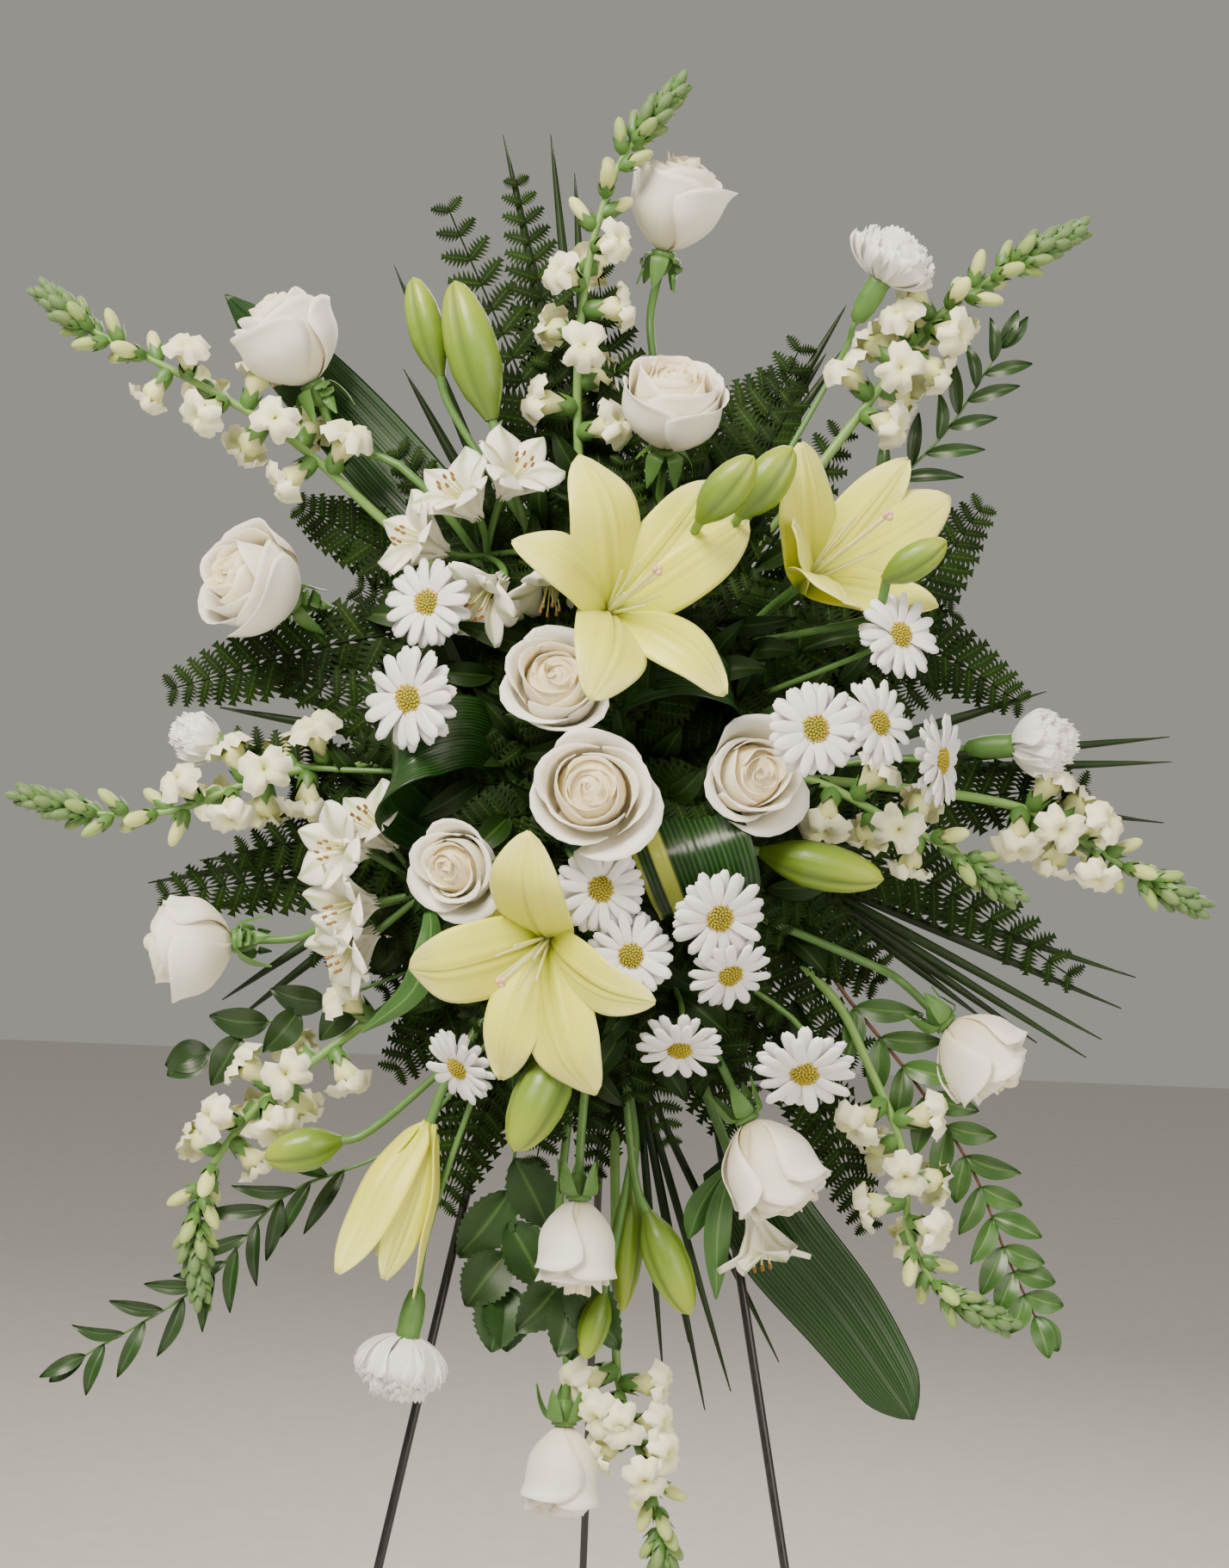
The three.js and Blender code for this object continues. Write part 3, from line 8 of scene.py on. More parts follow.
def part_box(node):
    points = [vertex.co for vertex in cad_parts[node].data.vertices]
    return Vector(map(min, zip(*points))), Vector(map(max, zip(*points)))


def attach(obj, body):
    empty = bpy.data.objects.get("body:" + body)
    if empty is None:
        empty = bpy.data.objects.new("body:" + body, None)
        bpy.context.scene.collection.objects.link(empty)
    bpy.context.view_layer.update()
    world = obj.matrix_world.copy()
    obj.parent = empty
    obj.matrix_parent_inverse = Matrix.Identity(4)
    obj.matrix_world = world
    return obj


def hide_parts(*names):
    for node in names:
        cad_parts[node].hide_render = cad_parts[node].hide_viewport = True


# Standing funeral arrangement: white and lemon flowers with greenery in floral foam on a wire
# easel. Lengths are millimetres until a mesh is made, and the flowers face -Y.
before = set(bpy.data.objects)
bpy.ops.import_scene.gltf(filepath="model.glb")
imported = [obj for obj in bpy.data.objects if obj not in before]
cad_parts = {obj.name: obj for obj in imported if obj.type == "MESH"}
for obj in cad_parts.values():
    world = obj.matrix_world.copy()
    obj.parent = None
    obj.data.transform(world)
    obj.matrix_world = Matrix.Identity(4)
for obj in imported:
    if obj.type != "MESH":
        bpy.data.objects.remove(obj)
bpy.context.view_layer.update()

MM = 0.001

# Viewpoint that the layout is given from: [across, down, depth], where across and down are
# places in a picture 1428 wide and 1822 high, and depth is mm in front of the easel's top
PICTURE_WIDTH = 1428
PICTURE_CENTRE = (714, 911)
PICTURE_FOCUS = 2909
PICTURE_ROLL = math.radians(2.3)
EYE_DISTANCE = 1730
EYE_HEIGHT = 1202
FILM_WIDTH = 36
FOAM_CENTRE = np.array([-8.0, -90.0, 1195.0])

foam_low, foam_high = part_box("floral_foam")
SHIFT = (np.array(foam_low) + np.array(foam_high)) / 2 / MM - FOAM_CENTRE

TOWARD_VIEWER = np.array([0.0, -1.0, 0.0])
UPWARD = np.array([0.0, 0.0, 1.0])
GOLDEN_TURN = math.radians(137.508)

# A bloom that is tilted further from the viewer than this, in degrees, is seen from its side
SIDE_TILT = 45

# Blooms and leaves: sizes in mm that hold for every one of a kind
DAISY_RADIUS = 31
DAISY_DEPTH = 3.1
DISC_RADIUS = 8.6
RAYS = 28
DISC_FLORETS = 64
LILY_DEPTH = 18.1
TEPAL_WIDTH = 40
CARNATION_WIDTH = 58
PINNA_LENGTH = 20
LEAF_SIZES = {"ruscus": (50, 7), "myrtle": (42, 9), "rose": (52, 15)}

# How much fuller than their records some blooms and leaves are made
ROSE_SIDE_FULLNESS = 1.18
CARNATION_FULLNESS = 1.2
FROND_BREADTH = 1.25

# Stalks: radius, and how far behind the head's back one starts and bends, for each kind of bloom
STALKS = {"rose": (2.8, 9, 43), "carnation": (1.9, 26, 34), "daisy": (1.8, 4, 34),
          "lily": (3.3, 0, 34), "hanging_lily": (3.3, 0, 34)}
STRAIGHT_STALK = 34
HANGING_STALK_START = 0.8
BUD_STALK_SHARE = 0.25

# Calyx of each kind of bloom: radius and height of its rings from the head's back
CALYX_SIDES = 16
CALYX_RINGS = {
    "rose": [(2.6, -17), (5.5, -14), (7.5, -9), (7.6, -4), (8.5, -0.5), (5.0, 0.5)],
    "carnation": [(1.9, -31), (5.2, -28), (7.2, -20), (8.0, -10), (7.6, -3), (8.2, 3), (5.0, 3.4)],
    "daisy": [(1.8, -8), (5.0, -4), (7.5, -0.5), (4.0, 0.2)],
}

# Snapdragons: mm of spike for each floret, the share of florets that are open, and the spike that
# the folding leg passes behind, which has its florets on its front only
FLORET_SPACING = 8.2
FRONT_FLORET_SPACING = 9.4
LEAST_FLORETS = 20
OPEN_SHARE = 0.27
FRONT_SPIKE = "snapdragon_bottom"

# Easel: heights, wire, how far its legs spread and lean for each mm down, and its bars
EASEL_TOP = 1366
HINGE_HEIGHT = 1310
HANGER_HEIGHT = 1270
LOWER_BAR_HEIGHT = 1095
WIRE_RADIUS = 3
LEG_SPLAY = 261 / EASEL_TOP
LEG_LEAN = 192 / EASEL_TOP
BAR_HALF_LENGTH = 62
CLEARANCE = 0.35

# Rounded end of a cut wire: distance from the end, and share of the wire's radius there
WIRE_END = [(0, 0.72), (0.6, 0.92), (1.6, 1)]


def place(at):
    """Place in the arrangement of [across, down, depth]."""
    across, down, depth = at
    reach = (EYE_DISTANCE - depth) / PICTURE_FOCUS
    u = across - PICTURE_CENTRE[0]
    v = PICTURE_CENTRE[1] - down
    x = (u * math.cos(PICTURE_ROLL) - v * math.sin(PICTURE_ROLL)) * reach
    z = EYE_HEIGHT + (u * math.sin(PICTURE_ROLL) + v * math.cos(PICTURE_ROLL)) * reach
    return np.array([x, -depth, z]) + SHIFT


def facing(turn, tilt):
    """Direction that a bloom faces: turn is anticlockwise from +X, tilt is away from the viewer."""
    a, b = math.radians(turn), math.radians(tilt)
    return np.array([math.sin(b) * math.cos(a), -math.cos(b), math.sin(b) * math.sin(a)])


def unit(vector):
    return vector / max(np.linalg.norm(vector), 1e-9)


def bloom_axes(face):
    """Right, up and face of a bloom."""
    right = np.cross(face, UPWARD)
    if np.linalg.norm(right) < 0.1:
        right = np.array([1.0, 0.0, 0.0])
    right = unit(right)
    return right, unit(np.cross(right, face)), face


def placed(points, base, face, spin=0.0):
    """Points of a bloom's own frame, whose third axis is its face, put in place."""
    right, up, ahead = bloom_axes(face)
    c, s = math.cos(spin), math.sin(spin)
    x = points[..., 0] * c - points[..., 1] * s
    y = points[..., 0] * s + points[..., 1] * c
    return (base + x[..., None] * right + y[..., None] * up
            + points[..., 2][..., None] * ahead)


def outward(face, angle):
    """Direction square to a bloom's face, at an angle round it."""
    right, up, _ = bloom_axes(face)
    return math.cos(angle) * right + math.sin(angle) * up


def leaf_axes(out, over):
    """Axes of a leaf that points outwards and lies under a direction."""
    across = unit(np.cross(over, out))
    return out, across, np.cross(out, across)


def turned(rings, sides):
    """Round surface from the radius and height of its rings."""
    around = np.linspace(0, math.tau, sides, endpoint=False)
    return np.array([[(r * math.cos(a), r * math.sin(a), z) for a in around] for r, z in rings])


def mix(a, b, t):
    return a + (b - a) * t


def along_curve(points, shares):
    """Places on the smooth curve through the points, at the given shares of it."""
    points = np.array(points, float)
    around = np.vstack([2 * points[0] - points[1], points, 2 * points[-1] - points[-2]])
    found = []
    for share in shares:
        reach = min(max(share, 0), 1) * (len(points) - 1)
        k = min(int(reach), len(points) - 2)
        w = reach - k
        p = around[k:k + 4]
        gaps = np.maximum(np.linalg.norm(np.diff(p, axis=0), axis=1) ** 0.5, 1e-4)
        start = ((p[1] - p[0]) / gaps[0] - (p[2] - p[0]) / (gaps[0] + gaps[1])
                 + (p[2] - p[1]) / gaps[1]) * gaps[1]
        end = ((p[2] - p[1]) / gaps[1] - (p[3] - p[1]) / (gaps[1] + gaps[2])
               + (p[3] - p[2]) / gaps[2]) * gaps[1]
        square = -3 * p[1] + 3 * p[2] - 2 * start - end
        cube = 2 * p[1] - 2 * p[2] + start + end
        found.append(p[1] + start * w + square * w * w + cube * w ** 3)
    return np.array(found)


def smooth_route(points, steps):
    return along_curve(points, np.linspace(0, 1, steps + 1))


def tangents(points):
    ahead = np.gradient(points, axis=0)
    return ahead / np.maximum(np.linalg.norm(ahead, axis=1, keepdims=True), 1e-9)


class Shape:
    """Surfaces gathered into one mesh, with a place across and along each one, and two values
    for its finish: layer, from the heart outwards, and tint, which differs from petal to petal
    and on a lily bud marks its grooves, which its material paints with shade."""

    def __init__(self):
        self.points, self.faces, self.uv, self.layer, self.tint = [], [], [], [], []
        self.count = 0

    def sheet(self, grid, layer=0.0, tint=0.5, closed=False):
        """Adds a sheet from its rows of points; a closed one joins its last column to its first."""
        rows, columns = grid.shape[:2]
        index = np.arange(rows * columns).reshape(rows, columns)
        if closed:
            index = np.hstack([index, index[:, :1]])
        faces = np.stack([index[:-1, :-1], index[:-1, 1:], index[1:, 1:], index[1:, :-1]], -1)
        across, along = np.meshgrid(np.linspace(0, 1, columns), np.linspace(0, 1, rows))
        self.points.append(grid.reshape(-1, 3))
        self.faces.append(faces.reshape(-1, 4) + self.count)
        self.uv.append(np.stack([across.ravel(), along.ravel()], -1))
        self.layer.append(np.broadcast_to(layer, (rows, columns)).ravel())
        self.tint.append(np.broadcast_to(tint, (rows, columns)).ravel())
        self.count += rows * columns

    def object(self, name, finish, thickness=0.0):
        """Object of the surfaces; a thickness in mm makes walls of them."""
        points = np.vstack(self.points) * MM
        faces = np.vstack(self.faces)
        mesh = bpy.data.meshes.new(name)
        mesh.vertices.add(len(points))
        mesh.vertices.foreach_set("co", points.astype(np.float32).ravel())
        mesh.loops.add(faces.size)
        mesh.loops.foreach_set("vertex_index", faces.astype(np.int32).ravel())
        mesh.polygons.add(len(faces))
        mesh.polygons.foreach_set("loop_start", np.arange(0, faces.size, 4, dtype=np.int32))
        mesh.update(calc_edges=True)
        mesh.validate()
        uv = np.vstack(self.uv)
        corner = np.zeros(len(mesh.loops), np.int32)
        mesh.loops.foreach_get("vertex_index", corner)
        mesh.uv_layers.new(name="UVMap").data.foreach_set("uv", uv[corner].astype(np.float32).ravel())
        for label, values in (("layer", self.layer), ("tint", self.tint)):
            attribute = mesh.attributes.new(label, "FLOAT", "POINT")
            attribute.data.foreach_set("value", np.concatenate(values).astype(np.float32))
        mesh.materials.append(finish)
        mesh.shade_smooth()
        made = bpy.data.objects.new(name, mesh)
        bpy.context.scene.collection.objects.link(made)
        if thickness:
            wall = made.modifiers.new("thickness", "SOLIDIFY")
            wall.thickness = thickness * MM
            wall.offset = 0
        return made


# Node trees that make what repeats or follows a path

def linear(code):
    """sRGB hex colour as linear red, green, blue and alpha."""
    channels = [int(code[i:i + 2], 16) / 255 for i in (1, 3, 5)]
    return [c / 12.92 if c <= 0.04045 else ((c + 0.055) / 1.055) ** 2.4 for c in channels] + [1.0]


def add_node(tree, kind, inputs=(), stops=(), **settings):
    """Adds a node with its settings, its inputs and a colour ramp's stops.

    An input goes by its identifier or name, and is a socket to link, a value or a hex colour.
    """
    made = tree.nodes.new(kind)
    for key, value in settings.items():
        setattr(made, key, value)
    for key, value in dict(inputs).items():
        socket = next(found for found in made.inputs if key in (found.identifier, found.name))
        if isinstance(value, bpy.types.NodeSocket):
            tree.links.new(value, socket)
        else:
            socket.default_value = linear(value) if str(value).startswith("#") else value
    if stops:
        elements = made.color_ramp.elements
        while len(elements) < len(stops):
            elements.new(0.5)
        for element, (position, code) in zip(elements, stops):
            element.position = position
            element.color = linear(code)
    return made


def new_tree(name, sockets):
    tree = bpy.data.node_groups.new(name, "GeometryNodeTree")
    for label, kind in [("Geometry", "NodeSocketGeometry"), *sockets]:
        tree.interface.new_socket(label, in_out="INPUT", socket_type=kind)
    tree.interface.new_socket("Geometry", in_out="OUTPUT", socket_type="NodeSocketGeometry")
    return tree, tree.nodes.new("NodeGroupInput")


def make_tube_tree():
    """Round stalks along curves: each point carries its radius."""
    tree, start = new_tree("stalks along curves", [("Sides", "NodeSocketInt"),
                                                   ("Finish", "NodeSocketMaterial")])
    radius = add_node(tree, "GeometryNodeInputNamedAttribute", {"Name": "radius"}, data_type="FLOAT")
    ring = add_node(tree, "GeometryNodeCurvePrimitiveCircle",
                    {"Resolution": start.outputs["Sides"], "Radius": 1.0})
    tube = add_node(tree, "GeometryNodeCurveToMesh", {
        "Curve": start.outputs["Geometry"], "Profile Curve": ring.outputs["Curve"],
        "Scale": radius.outputs["Attribute"], "Fill Caps": True})
    return finish_tree(tree, start, tube.outputs["Mesh"])


def make_copy_tree():
    """Copies of one part on points: each point carries the copy's turn and size."""
    tree, start = new_tree("copies on points", [("Part", "NodeSocketObject"),
                                                ("Finish", "NodeSocketMaterial")])
    part = add_node(tree, "GeometryNodeObjectInfo", {"Object": start.outputs["Part"]})
    turn, size = (add_node(tree, "GeometryNodeInputNamedAttribute", {"Name": label}, data_type=kind)
                  for label, kind in (("turn", "QUATERNION"), ("size", "FLOAT_VECTOR")))
    placed_copies = add_node(tree, "GeometryNodeInstanceOnPoints", {
        "Points": start.outputs["Geometry"], "Instance": part.outputs["Geometry"],
        "Rotation": turn.outputs["Attribute"], "Scale": size.outputs["Attribute"]})
    return finish_tree(tree, start, placed_copies.outputs["Instances"])


def finish_tree(tree, start, geometry):
    """Ends a tree with real geometry that has its material."""
    real = add_node(tree, "GeometryNodeRealizeInstances", {"Geometry": geometry})
    painted = add_node(tree, "GeometryNodeSetMaterial", {
        "Geometry": real.outputs["Geometry"], "Material": start.outputs["Finish"]})
    add_node(tree, "NodeGroupOutput", {"Geometry": painted.outputs["Geometry"]})
    return tree


tube_tree = make_tube_tree()
copy_tree = make_copy_tree()


def grown(name, source, tree, **inputs):
    """Plain mesh object that a node tree grows from a source object."""
    modifier = source.modifiers.new("grow", "NODES")
    modifier.node_group = tree
    for item in tree.interface.items_tree:
        if item.in_out == "INPUT" and item.name in inputs:
            modifier[item.identifier] = inputs[item.name]
    bpy.context.scene.collection.objects.link(source)
    graph = bpy.context.evaluated_depsgraph_get()
    mesh = bpy.data.meshes.new_from_object(source.evaluated_get(graph))
    mesh.name = name
    source.modifiers.remove(modifier)
    bpy.data.objects.remove(source)
    mesh.transform(Matrix.Scale(MM, 4))
    mesh.shade_smooth()
    made = bpy.data.objects.new(name, mesh)
    bpy.context.scene.collection.objects.link(made)
    return made


def stalks(name, lines, finish, sides=10):
    """Round stalks, each a list of points with one radius or a radius for each point."""
    data = bpy.data.curves.new(name, "CURVE")
    data.dimensions = "3D"
    for points, radii in lines:
        spline = data.splines.new("POLY")
        spline.points.add(len(points) - 1)
        co = np.hstack([np.array(points), np.ones((len(points), 1))])
        spline.points.foreach_set("co", co.astype(np.float32).ravel())
        spline.points.foreach_set("radius", np.broadcast_to(radii, len(points)).astype(np.float32))
    source = bpy.data.objects.new(name, data)
    return grown(name, source, tube_tree, Sides=sides, Finish=finish)


def copies(name, part, spots, finish):
    """Copies of a part, one for each spot: its place, three axes, size on each axis and tint."""
    mesh = bpy.data.meshes.new(name)
    mesh.vertices.add(len(spots))
    mesh.vertices.foreach_set("co", np.array([spot[0] for spot in spots], np.float32).ravel())
    turns = [Matrix(np.array(spot[1]).T).to_quaternion() for spot in spots]
    mesh.attributes.new("turn", "QUATERNION", "POINT").data.foreach_set(
        "value", np.array(turns, np.float32).ravel())
    sizes = np.array([np.broadcast_to(spot[2], 3) for spot in spots], np.float32)
    mesh.attributes.new("size", "FLOAT_VECTOR", "POINT").data.foreach_set("vector", sizes.ravel())
    tints = np.array([spot[3] for spot in spots], np.float32)
    mesh.attributes.new("tint", "FLOAT", "POINT").data.foreach_set("value", tints)
    source = bpy.data.objects.new(name, mesh)
    return grown(name, source, copy_tree, Part=part, Finish=finish)


def as_part(shape, name, thickness=0.0):
    """Part to copy, still in millimetres, without a tint of its own."""
    made = shape.object(name, None, thickness)
    made.data.transform(Matrix.Scale(1 / MM, 4))
    made.data.attributes.remove(made.data.attributes["tint"])
    if thickness:
        made.modifiers["thickness"].thickness = thickness
    bpy.context.scene.collection.objects.unlink(made)
    return made


def joined(name, parts):
    """One object from several, which keeps their materials."""
    if len(parts) > 1:
        with bpy.context.temp_override(active_object=parts[0], selected_editable_objects=parts):
            bpy.ops.object.join()
    parts[0].name = name
    parts[0].data.name = name
    return parts[0]


def finished(piece, slot, *nodes, body="stand"):
    """The piece with its body, and the nodes that it stands in for; its slot is not used."""
    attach(piece, body)
    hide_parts(*nodes)
    return piece


# Materials

def new_material(name, roughness, subsurface=0.0, coat=0.0, **constants):
    """Material with constants on its shader; light that enters it goes 3 mm deep, red the furthest."""
    material = bpy.data.materials.new(name)
    material.use_nodes = True
    inputs = material.node_tree.nodes["Principled BSDF"].inputs
    inputs["Roughness"].default_value = roughness
    inputs["Subsurface Weight"].default_value = subsurface
    inputs["Subsurface Scale"].default_value = 0.003
    inputs["Subsurface Radius"].default_value = (1.0, 0.9, 0.75)
    inputs["Coat Weight"].default_value = coat
    for key, value in constants.items():
        inputs[key.replace("_", " ")].default_value = value
    return material


def surfaced(material, colour, height=None, depth=0.0):
    """The material with its colour, and relief of about depth mm from a height between 0 and 1."""
    tree = material.node_tree
    shader = tree.nodes["Principled BSDF"]
    tree.links.new(colour, shader.inputs["Base Color"])
    if height:
        bump = add_node(tree, "ShaderNodeBump", {"Height": height, "Distance": depth * MM,
                                                 "Strength": 1.0})
        tree.links.new(bump.outputs["Normal"], shader.inputs["Normal"])
    return material


def coated(tree, base, *coats, way="MIX"):
    """Colour of a base under coats, each with its colour, its strength and the masks that limit it.

    A colour or mask is a socket, a hex colour, the label of a value that the mesh carries, or one of
    these with the stops, each of place and hex colour, of a ramp that it goes through.
    """
    def found(item):
        if isinstance(item, tuple):
            ramp = add_node(tree, "ShaderNodeValToRGB", {"Fac": found(item[0])}, item[1:])
            return ramp.outputs["Color"]
        if item in ("layer", "tint"):
            return add_node(tree, "ShaderNodeAttribute", attribute_name=item).outputs["Fac"]
        return item

    colour = found(base)
    for over, share, *masks in coats:
        for mask in masks:
            share = add_node(tree, "ShaderNodeMath", {"Value": found(mask), "Value_001": share},
                             operation="MULTIPLY").outputs["Value"]
        mixed = add_node(tree, "ShaderNodeMix", {"Factor_Float": share, "A_Color": colour,
                                                 "B_Color": found(over)}, data_type="RGBA",
                         blend_type=way)
        colour = next(output for output in mixed.outputs if output.identifier == "Result_Color")
    return colour


def uneven(tree, colour, darkest):
    """A colour that is darker on some petals or leaves than on others."""
    return coated(tree, colour, (("tint", (0.0, darkest), (1.0, "#ffffff")), 1.0), way="MULTIPLY")


def across_and_along(tree):
    """UV of a surface, the places across and along it, and the distance from its middle line."""
    uv = add_node(tree, "ShaderNodeUVMap", uv_map="UVMap").outputs["UV"]
    split = add_node(tree, "ShaderNodeSeparateXYZ", {"Vector": uv})
    shifted = add_node(tree, "ShaderNodeMath", {"Value": split.outputs["X"], "Value_001": 0.5},
                       operation="SUBTRACT")
    aside = add_node(tree, "ShaderNodeMath", {"Value": shifted.outputs["Value"]},
                     operation="ABSOLUTE")
    return uv, split.outputs["X"], split.outputs["Y"], aside.outputs["Value"]


def speckle(tree, size, detail=3.0):
    """Noise whose grains are about size mm on the object."""
    where = add_node(tree, "ShaderNodeTexCoord").outputs["Object"]
    return add_node(tree, "ShaderNodeTexNoise", {"Vector": where, "Scale": 1 / (size * MM),
                                                 "Detail": detail}).outputs["Fac"]


def streaks(tree, breadth, spacing, stretch=0.08, detail=3.0):
    """Noise drawn out along a surface of this breadth, in streaks of this spacing, both in mm."""
    uv = add_node(tree, "ShaderNodeUVMap", uv_map="UVMap").outputs["UV"]
    drawn = add_node(tree, "ShaderNodeMapping", {"Vector": uv, "Scale": (1.0, stretch, 1.0)})
    return add_node(tree, "ShaderNodeTexNoise", {"Vector": drawn.outputs["Vector"],
                                                 "Scale": breadth / spacing,
                                                 "Detail": detail}).outputs["Fac"]


def petal_material(name, breadth, spacing, stops, vein_colour, vein_share=0.3, roughness=0.55,
                   subsurface=0.12, relief=0.12):
    """Living petal: colour goes from the heart outwards, with fine veins from base to tip.

    Real veins are under 1 mm apart; they are drawn at a wider spacing so that they show.
    """
    material = new_material(name, roughness, subsurface, Sheen_Weight=0.15)
    tree = material.node_tree
    veins = streaks(tree, breadth, spacing)
    lines = (veins, (0.45, "#000000"), (0.62, "#ffffff"))
    colour = coated(tree, ("layer", *stops), (vein_colour, vein_share, lines))
    return surfaced(material, uneven(tree, colour, "#f1f0ec"), veins, relief)


# Rose petals: thin, velvety and slightly see-through, cream at the heart, ivory outside
ivory_rose = petal_material(
    "rose petal, velvety ivory", 30, 1.5,
    [(0.0, "#eec684"), (0.25, "#f6e0a8"), (0.55, "#faefcc"), (0.8, "#fdf8e8"), (1.0, "#fffcf2")],
    "#fffdf6", 0.35, subsurface=0.4)
# Carnation petals: soft, dry and almost pure white
white_carnation = petal_material(
    "carnation petal, soft white", 32, 1.6,
    [(0.0, "#edf0dc"), (0.5, "#fafaf6"), (1.0, "#fffdfd")], "#f3edef", subsurface=0.4)
# Daisy rays: matt white with fine grooves along them, slightly green at the disc
white_ray = petal_material(
    "daisy ray, matt white", 8, 0.72,
    [(0.0, "#e3e6cf"), (0.15, "#f3f3f3"), (1.0, "#f8f7fb")], "#dcdbe2", relief=0.2)
# Lily tepals: waxy pale lemon, greener in the throat, with faint veins
lemon_tepal = petal_material(
    "lily tepal, waxy lemon", 50, 3,
    [(0.0, "#6c961c"), (0.16, "#b9ca2a"), (0.45, "#dadd3a"), (0.8, "#e6e95e"), (1.0, "#eff08a")],
    "#cfd23c", roughness=0.42)
# Snapdragon florets: velvety white that turns pale yellow-green towards the tube
white_floret = petal_material(
    "snapdragon floret, velvety white", 80, 4,
    [(0.0, "#b4c468"), (0.35, "#e0e5a6"), (0.62, "#e2e482"), (0.8, "#eff0c6"), (1.0, "#f6f5e0")],
    "#dde1b0", 0.4)


def alstroemeria_material():
    """Peruvian lily tepal, 30 mm broad: satin white with a green stripe to the tip; inner ones are
    warm yellow with brown flecks 3.6 mm apart."""
    material = new_material("alstroemeria tepal, white and green", 0.5, 0.12, Sheen_Weight=0.1)
    tree = material.node_tree
    _, _, along, aside = across_and_along(tree)
    stripe = (aside, (0.05, "#ffffff"), (0.17, "#000000"))
    far = (along, (0.35, "#000000"), (0.95, "#ffffff"))
    warm = (along, (0.25, "#000000"), (0.5, "#ffffff"), (0.85, "#000000"))
    fleck = (streaks(tree, 30, 3.6, 0.3, 0.0), (0.66, "#000000"), (0.7, "#ffffff"))
    colour = coated(tree, "#f4f3e4", ("#86a548", 0.8, stripe, far), ("#e8d27a", 0.35, warm, "layer"),
                    ("#7a4a2c", 0.45, fleck, warm, "layer"))
    return surfaced(material, colour, streaks(tree, 30, 1.8, detail=2.0), 0.12)


def leaf_material(name, breadth, dark, light, roughness, coat, rib=None, shine=0.4):
    """Living leaf: waxy skin over green, veins along it and a paler rib down the middle.

    Veins are a twelfth of the breadth apart, wider than real ones, so that they show.
    """
    material = new_material(name, roughness, 0.0, coat, Coat_Roughness=0.3, Specular_IOR_Level=shine)
    tree = material.node_tree
    veins = streaks(tree, breadth, 0.08 * breadth, 0.05)
    lines = (veins, (0.42, "#000000"), (0.6, "#ffffff"))
    colour = coated(tree, dark, (light, 1.0, speckle(tree, 22)), (light, 0.3, lines))
    if rib:
        aside = across_and_along(tree)[3]
        colour = coated(tree, colour, (rib, 1.0, (aside, (0.0, "#ffffff"), (0.06, "#000000"))))
    return surfaced(material, uneven(tree, colour, "#b9b9b9"), veins, 0.25)


# Fern: leathery and nearly without shine; its very dark green is partly the fern's own colour and partly
# painted shade, for the deep shadow behind the flowers
fern_green = leaf_material("leatherleaf fern, leathery green", 15, "#0b1a05", "#253f0d", 0.6, 0.0,
                           "#3c5c20", 0.12)
# Palm: stiff dark blades with a soft sheen along their fold
palm_green = leaf_material("palm blade, glossy dark green", 8, "#0e1f08", "#264014", 0.4, 0.08,
                           shine=0.3)
# Ruscus: waxy dark green that catches small clear lights
ruscus_green = leaf_material("ruscus leaf, waxy dark green", 14, "#152e10", "#2f5220", 0.36, 0.15,
                             "#44693a")
# Myrtle: brighter young green with the clearest wax gloss
myrtle_green = leaf_material("myrtle leaf, bright waxy green", 18, "#274d20", "#4f7d35", 0.35, 0.25,
                             "#6d944c")
# Rose leaf: matt mid green with a pale rib
rose_leaf_green = leaf_material("rose leaf, matt green", 30, "#1c3614", "#38602a", 0.5, 0.05, "#567c3e")
# Filler leaf: dark satin green, partly the leaf's own colour and partly painted shade, for the deep shadow
# between the stems
filler_green_with_painted_shade = leaf_material("filler leaf, dark satin green", 18, "#0e2307", "#274611", 0.5, 0.02,
                            "#3d6024", 0.2)
# Lily leaf: soft satin green, paler than the greenery round it
lily_leaf_green = leaf_material("lily leaf, satin green", 18, "#2b5222", "#50803a", 0.45, 0.1,
                                "#709a50")


def aspidistra_material():
    """Aspidistra leaf, 60 mm broad: hard glossy skin with ribs 2.7 mm apart and lines 1.2 mm apart
    along it; lime stripes where marked."""
    material = new_material("aspidistra leaf, glossy ribbed green", 0.34, 0.0, 0.15,
                            Coat_Roughness=0.2, Specular_IOR_Level=0.35)
    tree = material.node_tree
    uv, across, _, _ = across_and_along(tree)
    ribs = add_node(tree, "ShaderNodeTexWave", {"Vector": uv, "Scale": 7.0, "Distortion": 0.4},
                    wave_type="BANDS", bands_direction="X").outputs["Fac"]
    both = add_node(tree, "ShaderNodeMath", {"Value": ribs, "Value_001": streaks(tree, 60, 1.2, 0.02, 2.0)},
                    operation="ADD").outputs["Value"]
    height = add_node(tree, "ShaderNodeMath", {"Value": both, "Value_001": 0.6},
                      operation="MULTIPLY").outputs["Value"]
    stripes = (across, (0.0, "#ffffff"), (0.05, "#000000"), (0.14, "#000000"), (0.16, "#ffffff"),
               (0.27, "#ffffff"), (0.29, "#000000"))
    colour = coated(tree, (height, (0.25, "#0d240c"), (0.7, "#183b14"), (1.0, "#30591f")),
                    ("#b9c352", 1.0, "layer", stripes))
    return surfaced(material, colour, height, 0.12)


def stalk_material(name, dark, light, roughness=0.45):
    """Living stalk: smooth skin with soft patches and fine grains of paler green."""
    material = new_material(name, roughness, 0.05)
    tree = material.node_tree
    fine = speckle(tree, 1.2, 2.0)
    colour = coated(tree, dark, (light, 1.0, speckle(tree, 9)), (light, 0.3, fine))
    return surfaced(material, colour, fine, 0.08)


